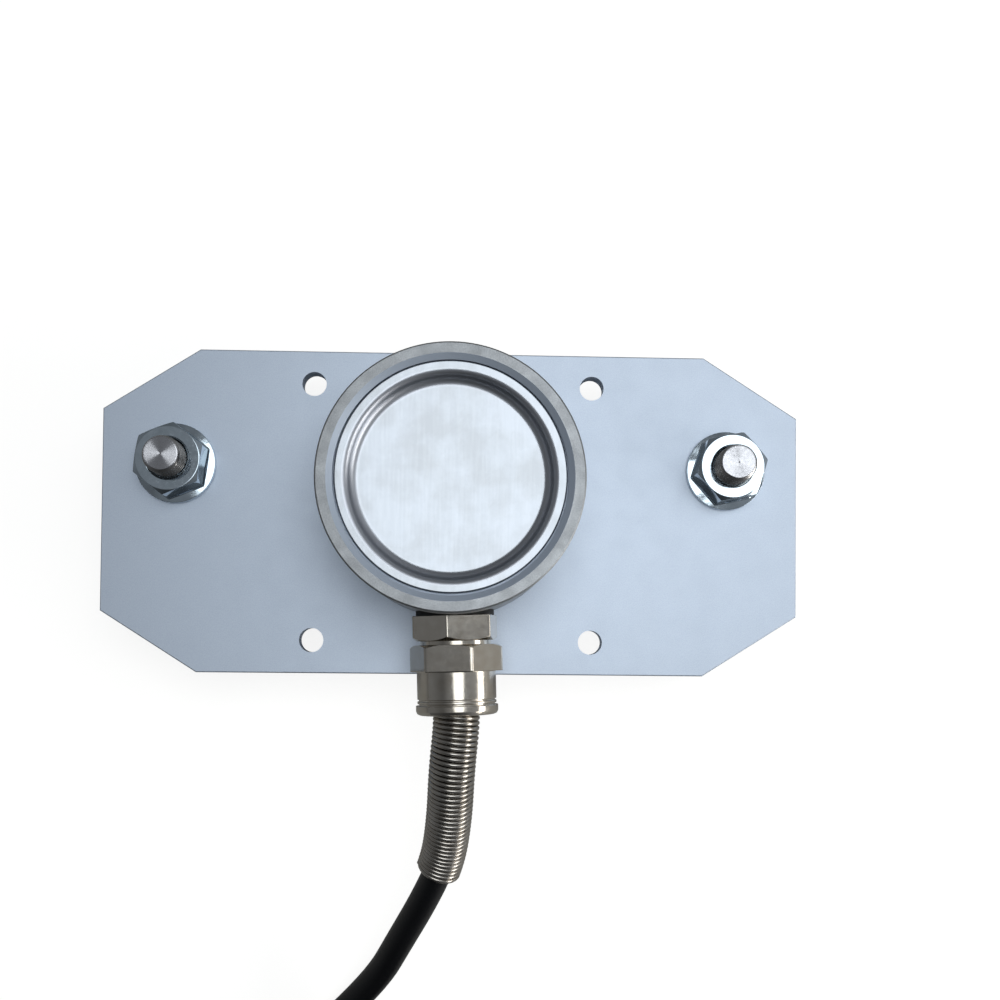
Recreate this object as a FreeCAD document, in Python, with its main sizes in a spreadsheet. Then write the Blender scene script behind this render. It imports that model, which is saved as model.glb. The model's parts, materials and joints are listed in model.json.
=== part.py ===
import FreeCAD, Part
import math
import os
import re
import Sketcher

# Three-pulley tension sensor: a flat plate carries two outer pulleys on fixed axles and, between them,
# a round load cell whose axle carries the middle pulley. It lies on the outer faces of its pulleys with
# the load cell up. Lengths are in millimetres, angles in degrees. X runs along the plate, the cable gland
# points to -Y, Z is up, and the origin is under the plate's centre, level with the pulleys' outer faces.

Vector = FreeCAD.Vector
document = FreeCAD.newDocument("tension_sensor")
sizes = document.addObject("Spreadsheet::Sheet", "sizes")

DRIVING_SIZES = [
    # Plate
    ("plate_length", 190.0),
    ("plate_width", 88.0),
    ("plate_thickness", 5.0),
    ("corner_cut_length", 26.0),
    ("corner_cut_width", 16.5),
    ("plate_edge_break", 0.3),
    ("mounting_spacing_length", 76.0),
    ("mounting_edge_distance", 9.0),
    ("mounting_hole_radius", 3.3),
    ("cell_window_radius", 12.0),
    # Layout
    ("plate_standoff", 24.0),
    ("outer_axle_inset", 20.0),
    ("outer_axle_offset", 12.5),
    ("cell_offset", 4.0),
    ("cell_turn", 2.0),
    # Pulleys
    ("sheave_radius", 22.0),
    ("sheave_width", 12.0),
    ("sheave_edge_break", 0.5),
    ("groove_root_radius", 16.2),
    ("groove_bottom_radius", 2.0),
    ("groove_flank_angle", 30.0),
    ("sheave_face_recess", 0.5),
    ("sheave_rim_band", 3.2),
    ("sheave_hub_band", 1.6),
    ("sheave_shoulder_radius", 11.5),
    # Bearings
    ("bearing_bore_radius", 5.0),
    ("bearing_radius", 13.0),
    ("bearing_width", 8.0),
    ("bearing_edge_break", 0.3),
    ("ball_count", 7),
    ("ball_radius", 2.381),
    ("ball_clearance", 0.069),
    ("ball_circle_radius", 9.0),
    ("inner_land_radius", 7.15),
    ("outer_land_radius", 10.85),
    ("cage_wall", 1.6),
    ("cage_height", 5.5),
    ("shield_thickness", 0.3),
    ("shield_inset", 0.3),
    ("shield_seat_radius", 11.25),
    ("shield_gap", 0.2),
    # Circlips
    ("bore_circlip_thickness", 1.2),
    ("bore_circlip_groove_depth", 0.6),
    ("bore_circlip_width", 2.2),
    ("bore_circlip_lug_radius", 1.9),
    ("bore_circlip_hole_radius", 0.9),
    ("bore_circlip_lug_inset", 0.6),
    ("bore_circlip_margin", 1.6),
    ("axle_circlip_thickness", 1.0),
    ("axle_circlip_groove_depth", 0.2),
    ("axle_circlip_groove_play", 0.1),
    ("axle_circlip_width", 1.6),
    ("axle_circlip_lug_radius", 1.3),
    ("axle_circlip_hole_radius", 0.6),
    ("axle_circlip_lug_inset", 0.2),
    ("circlip_gap", 2.0),
    # Axles
    ("axle_end_height", 0.8),
    ("axle_edge_break", 0.4),
    ("axle_neck_radius", 7.0),
    ("axle_neck_length", 3.2),
    ("outer_shoulder_radius", 8.5),
    ("outer_thread_radius", 5.0),
    ("outer_hole_clearance", 0.1),
    ("outer_thread_proud", 6.5),
    ("outer_thread_chamfer", 0.7),
    ("middle_shoulder_radius", 8.0),
    ("middle_thread_radius", 4.0),
    ("middle_thread_length", 11.0),
    ("axle_flat_depth", 1.0),
    ("axle_flat_length", 6.0),
    # Flange nuts
    ("nut_across_flats", 17.0),
    ("nut_height", 10.0),
    ("nut_flange_radius", 10.75),
    ("nut_flange_edge", 1.6),
    ("nut_flange_edge_break", 0.3),
    ("nut_flange_rise", 1.3),
    ("nut_flange_cone_radius", 8.2),
    ("nut_face_radius", 8.4),
    ("nut_mouth_radius", 5.8),
    ("left_nut_turn", 22.0),
    ("right_nut_turn", 12.0),
    # Load cell body
    ("cell_radius", 32.5),
    ("cell_height", 40.0),
    ("cell_edge_break", 0.4),
    ("cell_wall", 6.0),
    ("cell_rim_width", 2.75),
    ("cell_rim_chamfer_width", 1.45),
    ("cell_rim_chamfer_depth", 1.0),
    ("cell_base_thickness", 9.0),
    ("membrane_clamp_width", 11.5),
    ("membrane_relief", 3.0),
    ("membrane_thickness", 2.5),
    ("boss_radius", 10.0),
    ("boss_height", 14.0),
    ("boss_hole_depth", 12.0),
    ("gauge_count", 4),
    ("gauge_margin", 2.5),
    ("gauge_width", 4.0),
    ("gauge_thickness", 0.2),
    # Load cell cover
    ("cover_thickness", 1.0),
    ("cover_seat_clearance", 0.3),
    ("cover_offset", 0.2),
    ("cover_edge_break", 0.25),
    ("dish_depth", 3.0),
    ("dish_rim_width", 5.7),
    ("dish_shoulder_radius", 1.8),
    ("dish_bend_angle", 75.0),
    # Screws between plate and load cell
    ("cell_screw_count", 4),
    ("cell_screw_edge_distance", 6.5),
    ("cell_screw_radius", 2.5),
    ("cell_screw_head_radius", 5.0),
    ("cell_screw_depth", 7.0),
    ("cell_screw_hole_spare", 0.5),
    ("cell_screw_play", 0.15),
    ("cell_screw_socket_flats", 3.0),
    ("cell_screw_socket_depth", 1.8),
    # Terminal board
    ("board_clearance", 0.9),
    ("board_thickness", 1.6),
    ("board_window_radius", 4.0),
    ("board_standoff_count", 3),
    ("board_standoff_height", 17.0),
    ("board_standoff_radius", 2.2),
    ("board_standoff_inset", 2.9),
    ("board_screw_radius", 1.25),
    ("board_screw_head_radius", 2.1),
    ("board_screw_head_height", 1.5),
    ("board_screw_depth", 5.0),
    # Gland
    ("gland_height", 19.0),
    ("gland_seat_depth", 1.3),
    ("gland_seat_radius", 11.9),
    ("gland_thread_radius", 8.0),
    ("gland_thread_length", 7.0),
    ("gland_washer_thickness", 1.3),
    ("gland_washer_radius", 10.0),
    ("gland_body_flats", 20.0),
    ("gland_body_hex_length", 6.45),
    ("gland_body_turn", 40.0),
    ("gland_neck_radius", 9.1),
    ("gland_neck_length", 1.0),
    ("gland_screwed_length", 8.3),
    ("gland_bore_clearance", 0.6),
    ("gland_hex_chamfer", 0.5),
    ("gland_face_inset", 0.1),
    ("seal_radius", 7.4),
    ("seal_length", 7.5),
    ("dome_flats", 21.0),
    ("dome_hex_length", 6.8),
    ("dome_turn", 10.0),
    ("dome_face_margin", 0.2),
    ("dome_radius", 10.1),
    ("dome_sleeve_length", 7.0),
    ("dome_groove_width", 0.45),
    ("dome_groove_depth", 0.4),
    ("dome_ring_width", 0.65),
    ("dome_lip_radius", 10.5),
    ("dome_lip_length", 2.45),
    ("dome_lip_rounding", 1.4),
    ("dome_socket_depth", 3.7),
    # Strain relief spring
    ("spring_wire_radius", 0.625),
    ("spring_turns", 40),
    ("spring_inner_clearance", 0.8),
    ("spring_socket_clearance", 0.1),
    # Cable
    ("cable_radius", 4.0),
    ("cable_inner_reach", 2.5),
    ("cable_straight_exit", 0.8),
    ("core_radius", 0.7),
    ("core_spacing", 2.52),
    ("core_straight_length", 2.0),
    ("core_bend_radius", 3.0),
    ("coil_middle_radius", 53.9),
    ("coil_turns_across", 3),
    ("coil_turns_high", 3),
    ("coil_join_length", 33.0),
    ("coil_exit_angle", 22.5),
    ("coil_exit_reach", 26.0),
    ("coil_exit_distance", 13.0),
    ("coil_exit_step", 22.5),
    ("lead_count", 4),
    ("lead_radius", 0.6),
    ("lead_spacing", 1.56),
    ("lead_length", 30.0),
    ("lead_spread_angle", 7.0),
]


# The spreadsheet and the reading of its values
def fill_sheet():
    for row, (alias, value) in enumerate(DRIVING_SIZES, start=1):
        sizes.set("A%d" % row, alias.replace("_", " "))
        sizes.set("B%d" % row, str(value))
        sizes.setAlias("B%d" % row, alias)
    document.recompute()


ALIASES = {alias for alias, value in DRIVING_SIZES}


def linked(formula):
    """Puts the sheet's name before each of its aliases in a formula."""
    def with_sheet(match):
        word = match.group(0)
        return "sizes." + word if word in ALIASES else word
    return re.sub(r"[A-Za-z_]+", with_sheet, str(formula))


def number(formula):
    result = sizes.evalExpression(linked(formula))
    return float(getattr(result, "Value", result))


fill_sheet()

# Heights and distances that several pieces share, as formulas of the sheet's cells
PLATE_TOP = "(plate_standoff + plate_thickness)"
OUTER_AXLE_REACH = "(plate_length / 2 - outer_axle_inset)"
BEARING_BOTTOM = "(bore_circlip_margin + bore_circlip_thickness)"
BEARING_TOP = "(" + BEARING_BOTTOM + " + bearing_width)"
BEARING_MIDDLE = "(" + BEARING_BOTTOM + " + bearing_width / 2)"
RACE_RADIUS = "(ball_radius + ball_clearance)"
NUT_TOP = "(" + PLATE_TOP + " + nut_height)"
CELL_BORE_RADIUS = "(cell_radius - cell_wall)"
MEMBRANE_RADIUS = "(cell_radius - membrane_clamp_width)"
CELL_SCREW_CIRCLE_RADIUS = "(cell_radius - cell_screw_edge_distance)"
SEAT_RADIUS = "(cell_radius - cell_rim_width - cell_rim_chamfer_width)"
COVER_RADIUS = "(" + SEAT_RADIUS + " - cover_seat_clearance)"
COVER_SEAT = "(cell_height - cell_rim_chamfer_depth - cover_thickness)"
MEMBRANE_TOP = "(membrane_relief + membrane_thickness)"
BOARD_BOTTOM = "(cell_base_thickness + board_standoff_height)"
GLAND_SEAT_DISTANCE = "(cell_radius - gland_seat_depth)"
GLAND_HEX_START = "(" + GLAND_SEAT_DISTANCE + " + gland_washer_thickness)"
GLAND_HEX_END = "(" + GLAND_HEX_START + " + gland_body_hex_length)"
DOME_START = "(" + GLAND_HEX_END + " + gland_neck_length)"
GLAND_BODY_END = "(" + DOME_START + " + gland_screwed_length)"
SEAL_END = "(" + GLAND_BODY_END + " + gland_neck_length)"
SEAL_START = "(" + SEAL_END + " - seal_length)"
DOME_HEX_END = "(" + DOME_START + " + dome_hex_length)"
SLEEVE_END = "(" + DOME_HEX_END + " + dome_sleeve_length)"
DOME_END = "(" + SLEEVE_END + " + 2 * dome_groove_width + dome_ring_width + dome_lip_length)"
SOCKET_START = "(" + DOME_END + " - dome_socket_depth)"
SPRING_INNER_RADIUS = "(cable_radius + spring_inner_clearance)"
SPRING_OUTER_RADIUS = "(" + SPRING_INNER_RADIUS + " + 2 * spring_wire_radius)"
CABLE_FREE_START = "(" + SOCKET_START + " - cable_radius)"
CABLE_INNER_DISTANCE = "(" + CELL_BORE_RADIUS + " - cable_inner_reach)"

# Places of the pieces that turn about an upright axis, and of the gland's pieces along its own axis
PULLEY_PLACES = {
    "left": ("-" + OUTER_AXLE_REACH, "outer_axle_offset"),
    "middle": ("0", "cell_offset"),
    "right": (OUTER_AXLE_REACH, "outer_axle_offset"),
}
CELL_PLACE = "placement(vector(0; cell_offset; %s); rotationz(cell_turn * 1 deg))" % PLATE_TOP
COVER_PLACE = "placement(vector(0; cell_offset + cover_offset; %s); rotationz(cell_turn * 1 deg))" % PLATE_TOP
GLAND_PLACE = (
    "placement(vector(0; cell_offset; %s + gland_height);"
    " rotationz(cell_turn * 1 deg) * rotationx(90 deg))" % PLATE_TOP
)


def upright_place(where, height="0", turn="0"):
    across, along = where
    return "placement(vector(%s; %s; %s); rotationz((%s) * 1 deg))" % (across, along, height, turn)


# Drawing and feature helpers
def new_body(label, place="placement(vector(0; 0; 0); rotationz(0 deg))"):
    body = document.addObject("PartDesign::Body", label)
    body.Label = label
    body.AllowCompound = True
    body.setExpression("Placement", linked(place))
    return body


def origin_part(body, role):
    return next(part for part in body.Origin.OriginFeatures if part.Role == role)


def new_sketch(body, name, plane, offset="0"):
    sketch = body.newObject("Sketcher::SketchObject", name)
    sketch.AttachmentSupport = (origin_part(body, plane), [""])
    sketch.MapMode = "FlatFace"
    sketch.setExpression("AttachmentOffset.Base.z", linked(offset))
    return sketch


def pin_value(sketch, kind, geometry, position, formula):
    """Fixes one coordinate of a point, or one radius, to a formula."""
    value = number(formula)
    if kind == "Radius":
        constraint = Sketcher.Constraint("Radius", geometry, value)
    else:
        constraint = Sketcher.Constraint(kind, -1, 1, geometry, position, value)
    index = sketch.addConstraint(constraint)
    name = "%s_%d_%d" % (kind.lower(), geometry, position)
    sketch.renameConstraint(index, name)
    sketch.setExpression("Constraints." + name, linked(formula))


def arc_between(start, end, radius, bulge_left):
    """The shorter arc from start to end, with its centre on the right of the way when it bulges left."""
    chord = end - start
    middle = (start + end) * 0.5
    away = Vector(-chord.y, chord.x, 0).normalize()
    reach = math.sqrt(max(radius ** 2 - (chord.Length / 2) ** 2, 0.0))
    centre = middle - away * reach if bulge_left else middle + away * reach
    start_angle = math.atan2(start.y - centre.y, start.x - centre.x)
    end_angle = math.atan2(end.y - centre.y, end.x - centre.x)
    circle = Part.Circle(centre, Vector(0, 0, 1), radius)
    if bulge_left:
        start_angle, end_angle = end_angle, start_angle
    if end_angle <= start_angle:
        end_angle += 2 * math.pi
    return Part.ArcOfCircle(circle, start_angle, end_angle)


def draw_outline(sketch, corners):
    """Draws a closed outline. A corner is (x, y), or (x, y, side, radius) where an arc leads to the next."""
    places = [Vector(number(corner[0]), number(corner[1]), 0) for corner in corners]
    first = sketch.GeometryCount
    starts = []
    ends = []
    for index, corner in enumerate(corners):
        start = places[index]
        end = places[(index + 1) % len(corners)]
        geometry = first + index
        if len(corner) == 2:
            sketch.addGeometry(Part.LineSegment(start, end), False)
            starts.append((geometry, 1))
            ends.append((geometry, 2))
            continue
        bulge_left = corner[2] == "left"
        sketch.addGeometry(arc_between(start, end, number(corner[3]), bulge_left), False)
        starts.append((geometry, 2 if bulge_left else 1))
        ends.append((geometry, 1 if bulge_left else 2))
    for index in range(len(corners)):
        following = (index + 1) % len(corners)
        sketch.addConstraint(Sketcher.Constraint("Coincident", *ends[index], *starts[following]))
    for index, corner in enumerate(corners):
        geometry, position = starts[index]
        pin_value(sketch, "DistanceX", geometry, position, corner[0])
        pin_value(sketch, "DistanceY", geometry, position, corner[1])
        if len(corner) == 4:
            pin_value(sketch, "Radius", geometry, 0, corner[3])


def draw_circle(sketch, across, along, radius):
    centre = Vector(number(across), number(along), 0)
    geometry = sketch.addGeometry(Part.Circle(centre, Vector(0, 0, 1), number(radius)), False)
    pin_value(sketch, "DistanceX", geometry, 3, across)
    pin_value(sketch, "DistanceY", geometry, 3, along)
    pin_value(sketch, "Radius", geometry, 0, radius)


def hexagon(across_flats, turn):
    """Six corners of a hexagon about the origin, the first at the given angle."""
    corners = []
    for step in range(6):
        angle = "((%s) * 1 deg + %d deg)" % (turn, 60 * step)
        corners.append((
            "%s / 2 / cos(30 deg) * cos(%s)" % (across_flats, angle),
            "%s / 2 / cos(30 deg) * sin(%s)" % (across_flats, angle),
        ))
    return corners


def finish_feature(body, feature, sketch=None):
    body.Tip = feature
    if sketch is not None:
        sketch.Visibility = False
    document.recompute()
    if "Invalid" in feature.State:
        raise RuntimeError("%s in %s failed" % (feature.Label, body.Label))
    return feature


def turn_profile(body, name, corners, cut=False):
    """Revolves a profile of (radius, height) corners about the body's own upright axis."""
    sketch = new_sketch(body, name + "_profile", "XZ_Plane")
    draw_outline(sketch, corners)
    feature = body.newObject("PartDesign::Groove" if cut else "PartDesign::Revolution", name)
    feature.Profile = sketch
    feature.ReferenceAxis = (sketch, ["V_Axis"])
    feature.Angle = 360
    return finish_feature(body, feature, sketch)


def push_sketch(body, name, sketch, length, cut=False, reverse=False):
    """Pads a sketch by a length, or cuts it that deep, along the sketch's normal unless reversed."""
    feature = body.newObject("PartDesign::Pocket" if cut else "PartDesign::Pad", name)
    feature.Profile = sketch
    feature.setExpression("Length", linked(length))
    feature.Reversed = reverse
    return finish_feature(body, feature, sketch)


def cut_sketch(body, name, sketch, length, reverse=False):
    """Cuts a sketch and stops the build if nothing came away."""
    before = body.Shape.Volume
    feature = push_sketch(body, name, sketch, length, cut=True, reverse=reverse)
    if body.Shape.Volume >= before - 1e-6:
        raise RuntimeError("%s in %s cut nothing" % (name, body.Label))
    return feature


def repeat_round(body, name, features, count):
    pattern = body.newObject("PartDesign::PolarPattern", name)
    pattern.Originals = features
    pattern.Axis = (origin_part(body, "Z_Axis"), [""])
    pattern.Angle = 360
    pattern.setExpression("Occurrences", linked(count))
    return finish_feature(body, pattern)


def ring_profile(inner, outer, bottom, top):
    return [(inner, bottom), (outer, bottom), (outer, top), (inner, top)]


def chamfer_hexagon_end(body, name, across_flats, face_radius, face, inward):
    """Turns the corners of a hexagon's end down to a circle at 30 degrees. inward is + or -."""
    outside = "(%s / 2 / cos(30 deg) + 1)" % across_flats
    drop = "(%s - %s) * tan(30 deg)" % (outside, face_radius)
    turn_profile(body, name, [
        (face_radius, face),
        (outside, face),
        (outside, "%s %s %s" % (face, inward, drop)),
    ], cut=True)


# Plate
def make_base_plate():
    body = new_body("base_plate", "placement(vector(0; 0; plate_standoff); rotationz(0 deg))")
    half_length = "plate_length / 2"
    half_width = "plate_width / 2"
    outline = [
        ("-%s" % half_length, "%s - corner_cut_width" % half_width),
        ("-%s" % half_length, "-%s + corner_cut_width" % half_width),
        ("-%s + corner_cut_length" % half_length, "-%s" % half_width),
        ("%s - corner_cut_length" % half_length, "-%s" % half_width),
        (half_length, "-%s + corner_cut_width" % half_width),
        (half_length, "%s - corner_cut_width" % half_width),
        ("%s - corner_cut_length" % half_length, half_width),
        ("-%s + corner_cut_length" % half_length, half_width),
    ]
    sketch = new_sketch(body, "plate_outline", "XY_Plane")
    draw_outline(sketch, outline)
    pad = push_sketch(body, "plate_pad", sketch, "plate_thickness")
    face_edges = outer_edges(pad.Shape, number("plate_thickness"))
    edges = body.newObject("PartDesign::Chamfer", "plate_edges")
    edges.Base = (pad, face_edges)
    edges.setExpression("Size", linked("plate_edge_break"))
    finish_feature(body, edges)
    holes = new_sketch(body, "plate_holes", "XY_Plane")
    for side in ("-", ""):
        for end in ("-", ""):
            across = "%smounting_spacing_length / 2" % side
            along = "%s(plate_width / 2 - mounting_edge_distance)" % end
            draw_circle(holes, across, along, "mounting_hole_radius")
        draw_circle(holes, side + OUTER_AXLE_REACH, "outer_axle_offset",
                    "outer_thread_radius + outer_hole_clearance")
    draw_circle(holes, "0", "cell_offset", "cell_window_radius")
    cut_sketch(body, "plate_bores", holes, "plate_thickness", reverse=True)
    for index in range(int(number("cell_screw_count"))):
        add_countersunk_hole(body, index)
    return body


def outer_edges(shape, top):
    """Names of the straight edges that lie in the plate's two faces."""
    names = []
    for index, edge in enumerate(shape.Edges, start=1):
        ends = [vertex.Point.z for vertex in edge.Vertexes]
        if len(ends) == 2 and (max(ends) < 0.001 or min(ends) > top - 0.001):
            names.append("Edge%d" % index)
    return names


def screw_angle(index):
    return "(cell_turn * 1 deg + 360 deg * (%d + 0.5) / cell_screw_count)" % index


def add_countersunk_hole(body, index):
    """One hole for a screw that holds the load cell, countersunk from the plate's front."""
    across = "%s * cos(%s)" % (CELL_SCREW_CIRCLE_RADIUS, screw_angle(index))
    along = "cell_offset + %s * sin(%s)" % (CELL_SCREW_CIRCLE_RADIUS, screw_angle(index))
    sketch = new_sketch(body, "screw_hole_%d" % index, "XY_Plane")
    draw_circle(sketch, across, along, "cell_screw_radius + cell_screw_play")
    cut_sketch(body, "screw_bore_%d" % index, sketch, "plate_thickness", reverse=True)
    cone = new_sketch(body, "screw_sink_%d" % index, "XY_Plane")
    draw_circle(cone, across, along, "cell_screw_head_radius + cell_screw_play")
    sink = body.newObject("PartDesign::Pocket", "screw_countersink_%d" % index)
    sink.Profile = cone
    sink.setExpression("Length", linked("cell_screw_head_radius - cell_screw_radius"))
    sink.TaperAngle = -45
    sink.Reversed = True
    finish_feature(body, sink, cone)


# Axles
def axle_bottom_profile():
    """The end that carries the bearing, from the middle of its end face up to the neck."""
    groove_radius = "(bearing_bore_radius - axle_circlip_groove_depth)"
    groove_bottom = "(%s - axle_circlip_thickness - axle_circlip_groove_play)" % BEARING_BOTTOM
    neck_top = "(%s + axle_neck_length)" % BEARING_TOP
    return [
        ("0", "axle_end_height"),
        ("bearing_bore_radius - axle_edge_break", "axle_end_height"),
        ("bearing_bore_radius", "axle_end_height + axle_edge_break"),
        ("bearing_bore_radius", groove_bottom),
        (groove_radius, groove_bottom),
        (groove_radius, BEARING_BOTTOM),
        ("bearing_bore_radius", BEARING_BOTTOM),
        ("bearing_bore_radius", BEARING_TOP),
        ("axle_neck_radius", BEARING_TOP),
        ("axle_neck_radius", neck_top),
    ]


def shoulder_profile(radius, top):
    neck_top = "(%s + axle_neck_length)" % BEARING_TOP
    return [
        ("%s - axle_edge_break" % radius, neck_top),
        (radius, "%s + axle_edge_break" % neck_top),
        (radius, top),
    ]


def add_flats(body, shoulder_radius):
    """Two flats for a spanner on the axle's shoulder."""
    flat = "(%s - axle_flat_depth)" % shoulder_radius
    bottom = "(%s + axle_neck_length + 1)" % BEARING_TOP
    sketch = new_sketch(body, "flats_outline", "XY_Plane", bottom)
    far = "(%s + 1)" % shoulder_radius
    opposite = "-" + far
    draw_outline(sketch, [(opposite, flat), (far, flat), (far, far), (opposite, far)])
    draw_outline(sketch, [(opposite, opposite), (far, opposite), (far, "-" + flat), (opposite, "-" + flat)])
    cut_sketch(body, "flats", sketch, "axle_flat_length", reverse=True)


def make_outer_axle(label, where):
    body = new_body(label, upright_place(where))
    tip = "(%s + outer_thread_proud)" % NUT_TOP
    shoulder = shoulder_profile("outer_shoulder_radius", "plate_standoff")
    turn_profile(body, "axle", axle_bottom_profile() + shoulder + [
        ("outer_thread_radius", "plate_standoff"),
        ("outer_thread_radius", "%s - outer_thread_chamfer" % tip),
        ("outer_thread_radius - outer_thread_chamfer", tip),
        ("0", tip),
    ])
    add_flats(body, "outer_shoulder_radius")
    return body


def make_middle_axle(where):
    body = new_body("middle_axle", upright_place(where, turn="cell_turn"))
    tip = "(%s + middle_thread_length)" % PLATE_TOP
    shoulder = shoulder_profile("middle_shoulder_radius", PLATE_TOP)
    turn_profile(body, "axle", axle_bottom_profile() + shoulder + [
        ("middle_thread_radius", PLATE_TOP),
        ("middle_thread_radius", "%s - axle_edge_break" % tip),
        ("middle_thread_radius - axle_edge_break", tip),
        ("0", tip),
    ])
    add_flats(body, "middle_shoulder_radius")
    return body


# Flange nuts
def make_flange_nut(label, where, turn):
    body = new_body(label, upright_place(where, PLATE_TOP, turn))
    sketch = new_sketch(body, "nut_hexagon", "XY_Plane")
    draw_outline(sketch, hexagon("nut_across_flats", "0"))
    push_sketch(body, "nut_hex", sketch, "nut_height")
    chamfer_hexagon_end(body, "nut_face", "nut_across_flats", "nut_face_radius", "nut_height", "-")
    turn_profile(body, "nut_flange", [
        ("0", "0"),
        ("nut_flange_radius - nut_flange_edge_break", "0"),
        ("nut_flange_radius", "nut_flange_edge_break"),
        ("nut_flange_radius", "nut_flange_edge"),
        ("nut_flange_cone_radius", "nut_flange_edge + nut_flange_rise"),
        ("0", "nut_flange_edge + nut_flange_rise"),
    ])
    sink = "(nut_mouth_radius - outer_thread_radius) * tan(30 deg)"
    turn_profile(body, "nut_bore", [
        ("0", "0"),
        ("nut_mouth_radius", "0"),
        ("outer_thread_radius", sink),
        ("outer_thread_radius", "nut_height - %s" % sink),
        ("nut_mouth_radius", "nut_height"),
        ("0", "nut_height"),
    ], cut=True)
    return body


# Pulleys with their bearings and circlips
def make_sheave(label, where):
    body = new_body(label, upright_place(where))
    middle = "(sheave_width / 2)"
    flank = "(groove_flank_angle * 1 deg)"
    centre_radius = "(groove_root_radius + groove_bottom_radius)"
    tangent_radius = "(%s - groove_bottom_radius * sin(%s))" % (centre_radius, flank)
    tangent_half = "(groove_bottom_radius * cos(%s))" % flank
    mouth_half = "(%s + (sheave_radius - %s) * tan(%s))" % (tangent_half, tangent_radius, flank)
    groove_radius = "(bearing_radius + bore_circlip_groove_depth)"
    band_inner = "(bearing_radius + sheave_hub_band)"
    band_outer = "(sheave_radius - sheave_rim_band)"
    turn_profile(body, "sheave", [
        ("bearing_radius + sheave_edge_break", "0"),
        (band_inner, "0"),
        (band_inner, "sheave_face_recess"),
        (band_outer, "sheave_face_recess"),
        (band_outer, "0"),
        ("sheave_radius - sheave_edge_break", "0"),
        ("sheave_radius", "sheave_edge_break"),
        ("sheave_radius", "%s - %s" % (middle, mouth_half)),
        (tangent_radius, "%s - %s" % (middle, tangent_half), "left", "groove_bottom_radius"),
        (tangent_radius, "%s + %s" % (middle, tangent_half)),
        ("sheave_radius", "%s + %s" % (middle, mouth_half)),
        ("sheave_radius", "sheave_width - sheave_edge_break"),
        ("sheave_radius - sheave_edge_break", "sheave_width"),
        (band_outer, "sheave_width"),
        (band_outer, "sheave_width - sheave_face_recess"),
        (band_inner, "sheave_width - sheave_face_recess"),
        (band_inner, "sheave_width"),
        ("sheave_shoulder_radius", "sheave_width"),
        ("sheave_shoulder_radius", BEARING_TOP),
        ("bearing_radius", BEARING_TOP),
        ("bearing_radius", BEARING_BOTTOM),
        (groove_radius, BEARING_BOTTOM),
        (groove_radius, "bore_circlip_margin"),
        ("bearing_radius", "bore_circlip_margin"),
        ("bearing_radius", "sheave_edge_break"),
    ])
    return body


def race_half(land_radius):
    return "sqrt(%s ^ 2 - (ball_circle_radius - %s) ^ 2)" % (RACE_RADIUS, land_radius)


def make_inner_ring(label, where):
    body = new_body(label, upright_place(where, BEARING_BOTTOM))
    middle = "(bearing_width / 2)"
    half = race_half("inner_land_radius")
    turn_profile(body, "ring", [
        ("bearing_bore_radius", "0"),
        ("inner_land_radius - bearing_edge_break", "0"),
        ("inner_land_radius", "bearing_edge_break"),
        ("inner_land_radius", "%s - %s" % (middle, half), "left", RACE_RADIUS),
        ("inner_land_radius", "%s + %s" % (middle, half)),
        ("inner_land_radius", "bearing_width - bearing_edge_break"),
        ("inner_land_radius - bearing_edge_break", "bearing_width"),
        ("bearing_bore_radius", "bearing_width"),
    ])
    return body


def make_outer_ring(label, where):
    body = new_body(label, upright_place(where, BEARING_BOTTOM))
    middle = "(bearing_width / 2)"
    half = race_half("outer_land_radius")
    seat = "(shield_inset + shield_thickness)"
    turn_profile(body, "ring", [
        ("shield_seat_radius", "0"),
        ("bearing_radius - bearing_edge_break", "0"),
        ("bearing_radius", "bearing_edge_break"),
        ("bearing_radius", "bearing_width - bearing_edge_break"),
        ("bearing_radius - bearing_edge_break", "bearing_width"),
        ("shield_seat_radius", "bearing_width"),
        ("shield_seat_radius", "bearing_width - %s" % seat),
        ("outer_land_radius", "bearing_width - %s" % seat),
        ("outer_land_radius", "%s + %s" % (middle, half), "left", RACE_RADIUS),
        ("outer_land_radius", "%s - %s" % (middle, half)),
        ("outer_land_radius", seat),
        ("shield_seat_radius", seat),
    ])
    return body


def make_shields(label, where):
    body = new_body(label, upright_place(where, BEARING_BOTTOM))
    inner = "(inner_land_radius + shield_gap)"
    lower_top = "(shield_inset + shield_thickness)"
    upper_top = "(bearing_width - shield_inset)"
    turn_profile(body, "lower_shield", ring_profile(inner, "shield_seat_radius", "shield_inset", lower_top))
    turn_profile(body, "upper_shield", ring_profile(
        inner, "shield_seat_radius", "%s - shield_thickness" % upper_top, upper_top))
    return body


def make_balls(label, where):
    balls = []
    for index in range(int(number("ball_count"))):
        ball = document.addObject("Part::Sphere", "%s_%d" % (label, index))
        ball.setExpression("Radius", linked("ball_radius"))
        angle = "(360 deg * %d / ball_count)" % index
        across, along = where
        ball.setExpression("Placement.Base.x", linked("%s + ball_circle_radius * cos(%s)" % (across, angle)))
        ball.setExpression("Placement.Base.y", linked("%s + ball_circle_radius * sin(%s)" % (along, angle)))
        ball.setExpression("Placement.Base.z", linked(BEARING_MIDDLE))
        balls.append(ball)
    group = document.addObject("Part::Compound", label)
    group.Label = label
    group.Links = balls
    return group


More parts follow.
